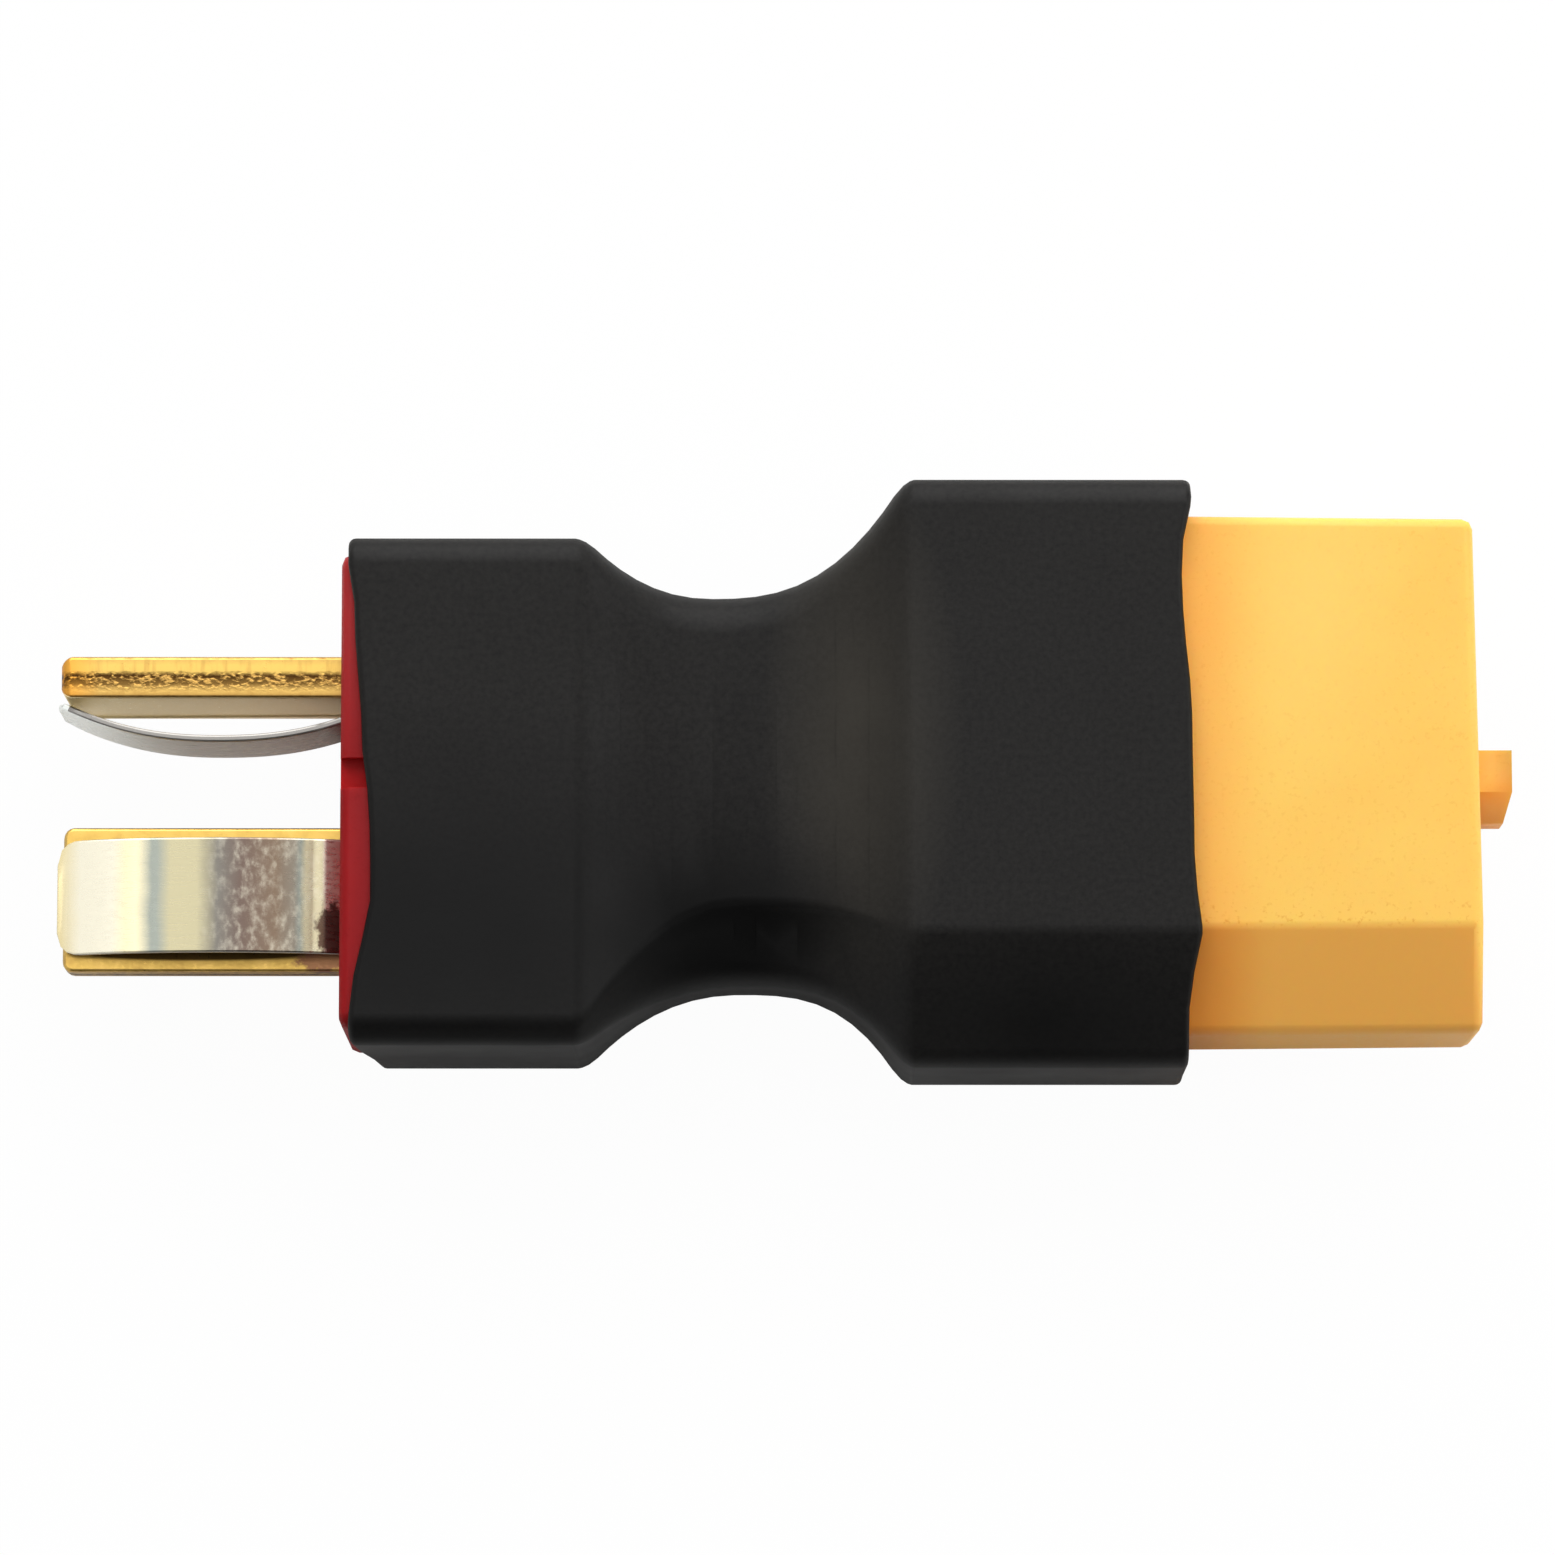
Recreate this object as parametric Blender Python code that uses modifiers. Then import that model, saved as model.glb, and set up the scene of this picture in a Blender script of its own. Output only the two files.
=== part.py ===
# Battery connector adapter: a two-blade T plug soldered back to back to a two-socket connector,
# with one heat-shrink sleeve over both. Metres, X from the blade tips to the mating key, Z up.
import math

import bmesh
import bpy
from mathutils import Matrix, Vector

MM = 0.001

# Lengths along the adapter, in order from the blade tips
LEAF_OVERHANG = 0.14 * MM
BLADE_REACH = 8.05 * MM
PLUG_LENGTH = 6.6 * MM
NECK_GAP = 9.7 * MM
BASE_LENGTH = 7.45 * MM
NOSE_LENGTH = 8.54 * MM
KEY_REACH = 1.09 * MM

# Socket connector: a nose with one end of its width chamfered, and a base that steps out all round
NOSE_WIDTH = 14.8 * MM
NOSE_THICKNESS = 6.9 * MM
NOSE_CHAMFER_Y = 2.95 * MM
NOSE_CHAMFER_Z = 1.25 * MM
NOSE_DRAFT = 0.1 * MM
NOSE_SLANT = 0.016
BASE_STEP = 0.5 * MM
HOUSING_EDGE = 0.3 * MM
CONTACT_PITCH = 7.2 * MM

# Key between the sockets, on the mating face
KEY_WIDTH = 2.0 * MM
KEY_THICKNESS = 2.8 * MM
KEY_CHAMFER = 0.8 * MM
KEY_Y = -0.11 * MM
KEY_SLANT = 0.2 * MM

# Socket contact: a turned barrel for a bullet at the front and a solder cup at the back
SOCKET_BORE = 3.5 * MM
SOCKET_DEPTH = 9.0 * MM
BARREL_DIAMETER = 4.5 * MM
COLLAR_DIAMETER = 5.2 * MM
COLLAR_LENGTH = 1.0 * MM
CUP_DIAMETER = 4.05 * MM
CUP_BORE = 3.5 * MM
CUP_REACH = 2.3 * MM
CUP_DEPTH = 4.2 * MM
CONTACT_RECESS = 0.35 * MM
CONTACT_EDGE = 0.2 * MM
CONTACT_SIDES = 36

# T plug: its own centre line lies off the socket connector's
PLUG_WIDTH = 13.62 * MM
PLUG_THICKNESS = 7.0 * MM
PLUG_EDGE = 0.5 * MM
PLUG_OFFSET_Y = -0.53 * MM
GROOVE_WIDTH = 0.86 * MM
GROOVE_DEPTH = 0.45 * MM
GROOVE_Y = 0.48 * MM

# Blades: the upper stands on edge, the lower lies flat
BLADE_WIDTH = 4.15 * MM
BLADE_THICKNESS = 1.2 * MM
BLADE_CORNER = 0.3 * MM
BLADE_EDGE = 0.1 * MM
UPRIGHT_BLADE_Y = 3.42 * MM
FLAT_BLADE_Y = -2.79 * MM
TAB_REACH = 5.1 * MM
TONGUE_REACH = 3.6 * MM
TONGUE_WIDTH = 1.9 * MM

# Leaf springs: the tip lies on the blade, the middle bows away, the root is held in the housing
LEAF_WIDTH = 3.3 * MM
LEAF_THICKNESS = 0.2 * MM
LEAF_CORNER = 0.65 * MM
LEAF_LIP = 0.15 * MM
LEAF_RISE = 4.45 * MM
LEAF_FALL = 4.6 * MM
LEAF_ROOT = 0.6 * MM
LEAF_CROWN = 0.96 * MM
LEAF_POWER = 2.3
LEAF_STATIONS = 34
LEAF_LANES = 4
LEAF_TIP_CROWDING = 1.2

# Solder between each tab and its cup
SOLDER_COLLAR = 1.1 * MM
SOLDER_TIP_RADIUS = 1.4 * MM
SOLDER_PAST_TAB = 0.5 * MM
SOLDER_SIDES = 28

# Grip grooves moulded in the narrow sides of both housings
GRIP_GROOVES = 4
GRIP_PITCH = 1.3 * MM
GRIP_WIDTH = 0.5 * MM
GRIP_DEPTH = 0.22 * MM

# Heat-shrink sleeve
SLEEVE_WALL = 0.4 * MM
SLEEVE_FIT = 0.05 * MM
SLEEVE_LEAD = 0.3 * MM
SLEEVE_SOFTEN = 0.27 * MM
SLEEVE_PLUG_END = 0.1 * MM
SLEEVE_SOCKET_END = 0.35 * MM
SLEEVE_CORNER = 0.85 * MM
SLEEVE_FLAT_CORNER = 0.7 * MM
NECK_UPPER_COVER = 1.64 * MM
NECK_LOWER_COVER = 2.3 * MM
NECK_RIDGE_Y = 3.7 * MM
NECK_UPPER_Z = 2.75 * MM
NECK_RIDGE_Z = 2.6 * MM
NECK_LOWER_Z = 1.6 * MM
NECK_CORNER = 1.2 * MM
NECK_UPPER_LOW = 0.4
NECK_LOWER_LOW = 0.5
NECK_PLUG_POWER = 2.25
NECK_BASE_POWER_UPPER = 2.75
NECK_BASE_POWER_LOWER = 3.0
NECK_BASE_POWER_THICKNESS = 2.5
NECK_CORNER_POWER = 1.5
NECK_STATIONS = 25
SLEEVE_SIDE_PIECES = (4, 12, 3, 3, 3, 12)

# How far each hand-cut end of the sleeve is drawn back: angle round it from +Y towards +Z, in
# degrees, then distance, which is below zero where the sleeve reaches further
PLUG_END_CUT = (
    (10, 0.05 * MM),
    (33, 0.1 * MM),
    (41, 0.3 * MM),
    (70, 0.5 * MM),
    (88, 0.55 * MM),
    (104, 0.75 * MM),
    (132, 0.79 * MM),
    (153, 0.18 * MM),
    (170, 0.36 * MM),
    (200, 0.8 * MM),
    (230, 0.45 * MM),
    (265, 0.62 * MM),
    (300, 0.3 * MM),
    (340, 0.45 * MM),
)
SOCKET_END_CUT = (
    (5, 0.1 * MM),
    (29, -0.02 * MM),
    (36, 0.27 * MM),
    (70, 0.0 * MM),
    (122, -0.04 * MM),
    (138, -0.25 * MM),
    (152, 0.09 * MM),
    (185, 0.06 * MM),
    (220, -0.1 * MM),
    (255, 0.12 * MM),
    (290, 0.0 * MM),
    (325, 0.22 * MM),
)

# Fits
SLOT_CLEARANCE = 0.06 * MM
BORE_CLEARANCE = 0.06 * MM
LEAF_CLEARANCE = 0.04 * MM
SOLDER_CLEARANCE = 0.05 * MM
OVERCUT = 1.0 * MM

# Stations worked out from the lengths
OVERALL = LEAF_OVERHANG + BLADE_REACH + PLUG_LENGTH + NECK_GAP + BASE_LENGTH + NOSE_LENGTH + KEY_REACH
LEAF_TIP_X = -OVERALL / 2
BLADE_TIP_X = LEAF_TIP_X + LEAF_OVERHANG
PLUG_FACE_X = BLADE_TIP_X + BLADE_REACH
PLUG_REAR_X = PLUG_FACE_X + PLUG_LENGTH
BASE_REAR_X = PLUG_REAR_X + NECK_GAP
SHOULDER_X = BASE_REAR_X + BASE_LENGTH
NOSE_FACE_X = SHOULDER_X + NOSE_LENGTH
CUP_MOUTH_X = BASE_REAR_X - CUP_REACH
BASE_THICKNESS = NOSE_THICKNESS + 2 * BASE_STEP
MID_Z = BASE_THICKNESS / 2 + SLEEVE_FIT + SLEEVE_WALL
NECK_UPPER_Y = CONTACT_PITCH / 2 + NECK_UPPER_COVER
NECK_LOWER_Y = CONTACT_PITCH / 2 + NECK_LOWER_COVER

# An outline drawn in X and Y and raised along Z turns so that it faces along the adapter
ALONG_X = Matrix(((0, 0, 1, 0), (1, 0, 0, 0), (0, 1, 0, 0), (0, 0, 0, 1)))


def empty_scene():
    for obj in list(bpy.data.objects):
        bpy.data.objects.remove(obj, do_unlink=True)


def collection(name):
    made = bpy.data.collections.new(name)
    bpy.context.scene.collection.children.link(made)
    return made


empty_scene()
PARTS = collection("battery_connector_adapter")
CUTTERS = collection("cutters")


def material(name, colour, roughness, metallic=0.0):
    made = bpy.data.materials.new(name)
    made.use_nodes = True
    shader = made.node_tree.nodes["Principled BSDF"]
    shader.inputs["Base Color"].default_value = (*colour, 1.0)
    shader.inputs["Roughness"].default_value = roughness
    shader.inputs["Metallic"].default_value = metallic
    made.diffuse_color = (*colour, 1.0)
    return made


def add_part(name, mesh, finish):
    obj = bpy.data.objects.new(name, mesh)
    PARTS.objects.link(obj)
    obj.data.materials.clear()
    obj.data.materials.append(finish)
    return obj


def add_cutter(name, mesh):
    obj = bpy.data.objects.new(name, mesh)
    CUTTERS.objects.link(obj)
    obj.hide_render = True
    obj.display_type = "WIRE"
    return obj


def rounded_outline(corners, radii, steps):
    """Points round an outline, anticlockwise, each corner with a radius an arc of steps pieces."""
    points = []
    for i, corner in enumerate(corners):
        here = Vector(corner)
        if radii[i] == 0:
            points.append(here)
            continue
        back = (Vector(corners[i - 1]) - here).normalized()
        ahead = (Vector(corners[(i + 1) % len(corners)]) - here).normalized()
        half = back.angle(ahead) / 2
        radius = radii[i]
        centre = here + (back + ahead).normalized() * radius / math.sin(half)
        start = here + back * radius / math.tan(half) - centre
        sweep = math.pi - 2 * half
        for k in range(steps + 1):
            turned = start.copy()
            turned.rotate(Matrix.Rotation(sweep * k / steps, 2))
            points.append(centre + turned)
    return points


def filled_sides(points, steps, pieces):
    """The same outline with each straight side, from one corner's arc to the next, in equal pieces."""
    filled = []
    for i, count in enumerate(pieces):
        arc = points[i * (steps + 1):(i + 1) * (steps + 1)]
        following = points[(i + 1) * (steps + 1) % len(points)]
        filled += arc
        filled += [arc[-1].lerp(following, k / count) for k in range(1, count)]
    return filled


def offset_outline(corners, distance):
    """The same outline with every side moved outwards by distance."""
    moved = []
    for i, corner in enumerate(corners):
        here = Vector(corner)
        into = (here - Vector(corners[i - 1])).normalized()
        out = (Vector(corners[(i + 1) % len(corners)]) - here).normalized()
        first = Vector((into.y, -into.x))
        second = Vector((out.y, -out.x))
        bisector = (first + second).normalized()
        moved.append(here + bisector * distance / bisector.dot(first))
    return moved


def chamfered_box(width, thickness, chamfer_y, chamfer_z):
    """A rectangle whose two corners on the -Y side are cut off, anticlockwise from +Y, -Z."""
    y, z = width / 2, thickness / 2
    return [
        (y, -z),
        (y, z),
        (-y + chamfer_y, z),
        (-y, z - chamfer_z),
        (-y, -z + chamfer_z),
        (-y + chamfer_y, -z),
    ]


def extruded(outline, height):
    """A flat closed outline raised by height from Z = 0, as a mesh."""
    curve = bpy.data.curves.new("outline", "CURVE")
    curve.dimensions = "2D"
    curve.fill_mode = "BOTH"
    curve.extrude = height / 2
    spline = curve.splines.new("POLY")
    spline.points.add(len(outline) - 1)
    for point, place in zip(spline.points, outline):
        point.co = (place[0], place[1], 0.0, 1.0)
    spline.use_cyclic_u = True
    obj = bpy.data.objects.new("outline", curve)
    bpy.context.scene.collection.objects.link(obj)
    graph = bpy.context.evaluated_depsgraph_get()
    mesh = bpy.data.meshes.new_from_object(obj.evaluated_get(graph))
    bpy.data.objects.remove(obj, do_unlink=True)
    bpy.data.curves.remove(curve)
    bm = bmesh.new()
    bm.from_mesh(mesh)
    bmesh.ops.remove_doubles(bm, verts=bm.verts, dist=0.001 * MM)
    bmesh.ops.dissolve_limit(bm, angle_limit=math.radians(0.1), verts=bm.verts, edges=bm.edges)
    bmesh.ops.translate(bm, verts=bm.verts, vec=(0, 0, height / 2))
    bmesh.ops.recalc_face_normals(bm, faces=bm.faces)
    bm.to_mesh(mesh)
    bm.free()
    return mesh


def box_mesh(low, high):
    mesh = bpy.data.meshes.new("box")
    bm = bmesh.new()
    bmesh.ops.create_cube(bm, size=1.0)
    size = Vector(high) - Vector(low)
    bmesh.ops.scale(bm, vec=size, verts=bm.verts)
    bmesh.ops.translate(bm, verts=bm.verts, vec=(Vector(low) + Vector(high)) / 2)
    bm.to_mesh(mesh)
    bm.free()
    return mesh


def rod_mesh(radius_start, radius_end, start, end, y, sides):
    """A round rod or cone along X between two stations, centred on y and the mid-plane."""
    mesh = bpy.data.meshes.new("rod")
    bm = bmesh.new()
    bmesh.ops.create_cone(
        bm,
        cap_ends=True,
        segments=sides,
        radius1=radius_start,
        radius2=radius_end,
        depth=end - start,
    )
    bmesh.ops.transform(bm, matrix=ALONG_X, verts=bm.verts)
    bmesh.ops.translate(bm, verts=bm.verts, vec=((start + end) / 2, y, MID_Z))
    bm.to_mesh(mesh)
    bm.free()
    return mesh


def combine(target, tool, operation):
    modifier = target.modifiers.new(operation.lower(), "BOOLEAN")
    modifier.operation = operation
    modifier.solver = "EXACT"
    modifier.object = tool


def cut(target, tool):
    combine(target, tool, "DIFFERENCE")


def join(target, tool):
    combine(target, tool, "UNION")


def soften_edges(obj, width, segments=2, angle=30.0):
    modifier = obj.modifiers.new("edges", "BEVEL")
    modifier.width = width
    modifier.segments = segments
    modifier.limit_method = "ANGLE"
    modifier.angle_limit = math.radians(angle)


def smooth(obj, angle=35.0):
    obj.data.shade_smooth()
    obj.data.set_sharp_from_angle(angle=math.radians(angle))


def drafted(mesh, station, shrink, slant):
    """Pulls the far end of a moulded nose in towards its axis, and slants its end face a little."""
    for vertex in mesh.vertices:
        if abs(vertex.co.x - station) < 0.01 * MM:
            vertex.co.y -= math.copysign(shrink, vertex.co.y)
            vertex.co.z -= math.copysign(shrink, vertex.co.z)
            vertex.co.x -= vertex.co.y * slant
    return mesh


def grip_grooves(target, start, end, half_width, centre_y, half_height):
    """Short grooves across both narrow sides of a housing, centred along its length."""
    middle = (start + end) / 2
    first = middle - GRIP_PITCH * (GRIP_GROOVES - 1) / 2
    for i in range(GRIP_GROOVES):
        x = first + i * GRIP_PITCH
        for side in (-1, 1):
            wall = centre_y + side * half_width
            inner, outer = wall - side * GRIP_DEPTH, wall + side * OVERCUT
            low = (x - GRIP_WIDTH / 2, min(inner, outer), MID_Z - half_height)
            high = (x + GRIP_WIDTH / 2, max(inner, outer), MID_Z + half_height)
            tool = add_cutter(f"{target.name}_grip_{i}_{'minus' if side < 0 else 'plus'}", box_mesh(low, high))
            cut(target, tool)


def nose_outline():
    return chamfered_box(NOSE_WIDTH, NOSE_THICKNESS, NOSE_CHAMFER_Y, NOSE_CHAMFER_Z)


def base_outline():
    return offset_outline(nose_outline(), BASE_STEP)


def plug_outline():
    """The T plug's outline, with its -Y corners as flats that just touch their rounding."""
    flat = PLUG_EDGE * (2 - math.sqrt(2))
    corners = chamfered_box(PLUG_WIDTH, PLUG_THICKNESS, flat, flat)
    return [(y + PLUG_OFFSET_Y, z) for y, z in corners]


def contact_places():
    return {"upper": CONTACT_PITCH / 2, "lower": -CONTACT_PITCH / 2}


def build_socket_housing(finish):
    base_mesh = extruded(base_outline(), BASE_LENGTH)
    base_mesh.transform(Matrix.Translation((BASE_REAR_X, 0, MID_Z)) @ ALONG_X)
    housing = add_part("socket_housing", base_mesh, finish)
    soften_edges(housing, HOUSING_EDGE)

    inside = BASE_LENGTH / 2
    nose_mesh = extruded(nose_outline(), NOSE_LENGTH + inside)
    nose_mesh.transform(Matrix.Translation((SHOULDER_X - inside, 0, 0)) @ ALONG_X)
    drafted(nose_mesh, NOSE_FACE_X, NOSE_DRAFT, NOSE_SLANT)
    nose_mesh.transform(Matrix.Translation((0, 0, MID_Z)))
    nose = add_cutter("nose_form", nose_mesh)
    soften_edges(nose, HOUSING_EDGE)
    join(housing, nose)

    key_sides = chamfered_box(KEY_WIDTH, KEY_THICKNESS, KEY_CHAMFER, KEY_CHAMFER)
    key_mesh = extruded(key_sides, KEY_REACH + inside)
    for vertex in key_mesh.vertices:
        if vertex.co.z > inside and vertex.co.x < KEY_CHAMFER - KEY_WIDTH / 2 - 0.01 * MM:
            vertex.co.z -= KEY_SLANT
    key_mesh.transform(Matrix.Translation((NOSE_FACE_X - inside, KEY_Y, MID_Z)) @ ALONG_X)
    join(housing, add_cutter("key_form", key_mesh))

    half_flat = NOSE_THICKNESS / 2 - NOSE_CHAMFER_Z
    grip_grooves(housing, BASE_REAR_X, SHOULDER_X, NOSE_WIDTH / 2 + BASE_STEP, 0, half_flat)

    for name, y in contact_places().items():
        barrel = BARREL_DIAMETER / 2 + BORE_CLEARANCE
        beyond = NOSE_FACE_X + OVERCUT
        through = rod_mesh(barrel, barrel, BASE_REAR_X - OVERCUT, beyond, y, CONTACT_SIDES)
        cut(housing, add_cutter(f"{name}_bore", through))
        collar = COLLAR_DIAMETER / 2 + BORE_CLEARANCE
        seat_end = BASE_REAR_X + COLLAR_LENGTH + BORE_CLEARANCE
        seat = rod_mesh(collar, collar, BASE_REAR_X - OVERCUT, seat_end, y, CONTACT_SIDES)
        cut(housing, add_cutter(f"{name}_collar_seat", seat))
    smooth(housing)
    return housing


def contact_profile():
    """Radius and station of a turned contact, from the floor of its socket to the floor of its cup."""
    front = NOSE_FACE_X - CONTACT_RECESS
    bore = SOCKET_BORE / 2
    barrel = BARREL_DIAMETER / 2
    collar = COLLAR_DIAMETER / 2
    cup = CUP_DIAMETER / 2
    cup_bore = CUP_BORE / 2
    collar_front = BASE_REAR_X + COLLAR_LENGTH
    edge = CONTACT_EDGE
    return [
        (0.0, front - SOCKET_DEPTH),
        (bore, front - SOCKET_DEPTH + bore / 3),
        (bore, front - edge),
        (bore + edge, front),
        (barrel - edge, front),
        (barrel, front - edge),
        (barrel, collar_front),
        (collar, collar_front),
        (collar, BASE_REAR_X),
        (cup, BASE_REAR_X),
        (cup, CUP_MOUTH_X + edge),
        (cup - edge, CUP_MOUTH_X),
        (cup_bore + edge / 2, CUP_MOUTH_X),
        (cup_bore, CUP_MOUTH_X + edge / 2),
        (cup_bore, CUP_MOUTH_X + CUP_DEPTH - cup_bore / 3),
        (0.0, CUP_MOUTH_X + CUP_DEPTH),
    ]


def turned(name, profile, y, sides, finish):
    """A round part along the adapter, turned from its profile's radii and stations."""
    mesh = bpy.data.meshes.new(name)
    bm = bmesh.new()
    line = [bm.verts.new((radius, 0.0, station)) for radius, station in profile]
    for first, second in zip(line, line[1:]):
        bm.edges.new((first, second))
    bm.to_mesh(mesh)
    bm.free()
    part = add_part(name, mesh, finish)
    part.location = (0, y, MID_Z)
    part.rotation_euler = (0, math.pi / 2, 0)
    screw = part.modifiers.new("turn", "SCREW")
    screw.axis = "Z"
    screw.angle = math.tau
    screw.steps = sides
    screw.render_steps = sides
    screw.use_merge_vertices = True
    screw.merge_threshold = 0.001 * MM
    screw.use_smooth_shade = True
    return part


def build_contact(name, y, finish):
    return turned(name, contact_profile(), y, CONTACT_SIDES, finish)


def leaf_lift(distance):
    """Height of a leaf's middle layer above its blade, at a distance back from the leaf's tip."""
    crown = LEAF_LIP + LEAF_RISE
    reach = LEAF_RISE if distance < crown else LEAF_FALL
    share = min(1.0, abs(distance - crown) / reach)
    return LEAF_CLEARANCE + LEAF_THICKNESS / 2 + LEAF_CROWN * (1 - share**LEAF_POWER)


def leaf_length():
    return LEAF_LIP + LEAF_RISE + LEAF_FALL + LEAF_ROOT


def leaf_half_width(distance):
    """Half the leaf's width, which rounds off into the tip."""
    short = max(0.0, LEAF_CORNER - distance)
    return LEAF_WIDTH / 2 - LEAF_CORNER + math.sqrt(LEAF_CORNER**2 - short**2)


def build_leaf(name, place, turn, finish):
    """A bowed strip over a blade's face, which lies along X with the bow towards +Z before it turns."""
    mesh = bpy.data.meshes.new(name)
    bm = bmesh.new()
    bmesh.ops.create_grid(bm, x_segments=LEAF_STATIONS, y_segments=LEAF_LANES, size=1.0)
    for vertex in bm.verts:
        along = (vertex.co.x + 1) / 2
        distance = leaf_length() * along**LEAF_TIP_CROWDING
        across = vertex.co.y * leaf_half_width(distance)
        vertex.co = (LEAF_TIP_X + distance, across, BLADE_THICKNESS / 2 + leaf_lift(distance))
    bm.to_mesh(mesh)
    bm.free()
    leaf = add_part(name, mesh, finish)
    leaf.location = place
    leaf.rotation_euler = (turn, 0, 0)
    wall = leaf.modifiers.new("strip", "SOLIDIFY")
    wall.thickness = LEAF_THICKNESS
    wall.offset = 0
    smooth(leaf)
    return leaf


def blade_outline(grow=0.0):
    """Plan of a blade and its solder tab, whose end narrows to a tongue that enters the cup."""
    half, tongue = BLADE_WIDTH / 2 + grow, TONGUE_WIDTH / 2 + grow
    shoulder = PLUG_REAR_X + TAB_REACH + grow
    end = shoulder + TONGUE_REACH
    right = [(BLADE_TIP_X, -half), (shoulder, -half), (shoulder, -tongue), (end, -tongue)]
    left = [(x, -y) for x, y in reversed(right)]
    return rounded_outline(right + left, [BLADE_CORNER, 0, 0, 0, 0, 0, 0, BLADE_CORNER], 4)


def blade_mesh(grow=0.0):
    thickness = BLADE_THICKNESS + 2 * grow
    mesh = extruded(blade_outline(grow), thickness)
    mesh.transform(Matrix.Translation((0, 0, -thickness / 2)))
    return mesh


def blade_frames():
    """Place and turn of each blade: a blade's face looks along +Z before it is turned about X."""
    upright = Vector((0, PLUG_OFFSET_Y + UPRIGHT_BLADE_Y, MID_Z))
    flat = Vector((0, PLUG_OFFSET_Y + FLAT_BLADE_Y, MID_Z))
    return {"upright": (upright, math.pi / 2), "flat": (flat, 0.0)}


def build_blade(name, place, turn, finish):
    blade = add_part(name, blade_mesh(), finish)
    blade.location = place
    blade.rotation_euler = (turn, 0, 0)
    soften_edges(blade, BLADE_EDGE)
    smooth(blade)
    return blade


def pocket_mesh():
    """Room in the housing for a leaf's root, above a blade's face."""
    reach = leaf_length() - (PLUG_FACE_X - LEAF_TIP_X) + LEAF_CLEARANCE
    mouth = leaf_lift(PLUG_FACE_X - LEAF_TIP_X) + LEAF_THICKNESS
    half = LEAF_WIDTH / 2 + SLOT_CLEARANCE
    low = (PLUG_FACE_X - OVERCUT, -half, 0)
    high = (PLUG_FACE_X + reach, half, BLADE_THICKNESS / 2 + mouth + SLOT_CLEARANCE)
    return box_mesh(low, high)


def build_plug_housing(finish):
    corners = [(PLUG_OFFSET_Y + y, z) for y, z in (
        (PLUG_WIDTH / 2, -PLUG_THICKNESS / 2),
        (PLUG_WIDTH / 2, PLUG_THICKNESS / 2),
        (-PLUG_WIDTH / 2, PLUG_THICKNESS / 2),
        (-PLUG_WIDTH / 2, -PLUG_THICKNESS / 2),
    )]
    mesh = extruded(rounded_outline(corners, [PLUG_EDGE] * 4, 4), PLUG_LENGTH)
    mesh.transform(Matrix.Translation((PLUG_FACE_X, 0, MID_Z)) @ ALONG_X)
    housing = add_part("t_plug_housing", mesh, finish)
    soften_edges(housing, HOUSING_EDGE, angle=50.0)

    grip_grooves(housing, PLUG_FACE_X, PLUG_REAR_X, PLUG_WIDTH / 2, PLUG_OFFSET_Y, PLUG_THICKNESS / 3)

    groove_y = PLUG_OFFSET_Y + GROOVE_Y
    for side, name in ((1, "top"), (-1, "bottom")):
        face = MID_Z + side * PLUG_THICKNESS / 2
        floor, beyond = face - side * GROOVE_DEPTH, face + side * OVERCUT
        low = (PLUG_FACE_X - OVERCUT, groove_y - GROOVE_WIDTH / 2, min(floor, beyond))
        high = (PLUG_REAR_X + OVERCUT, groove_y + GROOVE_WIDTH / 2, max(floor, beyond))
        cut(housing, add_cutter(f"{name}_groove", box_mesh(low, high)))

    for name, (place, turn) in blade_frames().items():
        slot = box_mesh(
            (PLUG_FACE_X - OVERCUT, -BLADE_WIDTH / 2 - SLOT_CLEARANCE, -BLADE_THICKNESS / 2 - SLOT_CLEARANCE),
            (PLUG_REAR_X + OVERCUT, BLADE_WIDTH / 2 + SLOT_CLEARANCE, BLADE_THICKNESS / 2 + SLOT_CLEARANCE),
        )
        for kind, tool_mesh in (("slot", slot), ("pocket", pocket_mesh())):
            tool = add_cutter(f"{name}_{kind}", tool_mesh)
            tool.location = place
            tool.rotation_euler = (turn, 0, 0)
            cut(housing, tool)
    smooth(housing)
    return housing


def solder_profile():
    """Radius and station of the solder, from its end inside the cup to its tip on the tab."""
    radius = CUP_BORE / 2 - SOLDER_CLEARANCE
    fill_end = PLUG_REAR_X + TAB_REACH + TONGUE_REACH + SOLDER_PAST_TAB
    cone_end = CUP_MOUTH_X - SOLDER_CLEARANCE
    return [
        (0.0, fill_end),
        (radius, fill_end),
        (radius, cone_end),
        (radius + CONTACT_EDGE, cone_end),
        (SOLDER_TIP_RADIUS, CUP_MOUTH_X - SOLDER_COLLAR),
        (0.0, CUP_MOUTH_X - SOLDER_COLLAR),
    ]


def build_solder(name, contact_y, place, turn, finish):
    """Solder that fills a cup round its tab and climbs the tab in a short cone."""
    solder = turned(name, solder_profile(), contact_y, SOLDER_SIDES, finish)
    tab = add_cutter(f"{name}_tab", blade_mesh(SOLDER_CLEARANCE))
    tab.location = place
    tab.rotation_euler = (turn, 0, 0)
    cut(solder, tab)
    return solder


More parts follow.
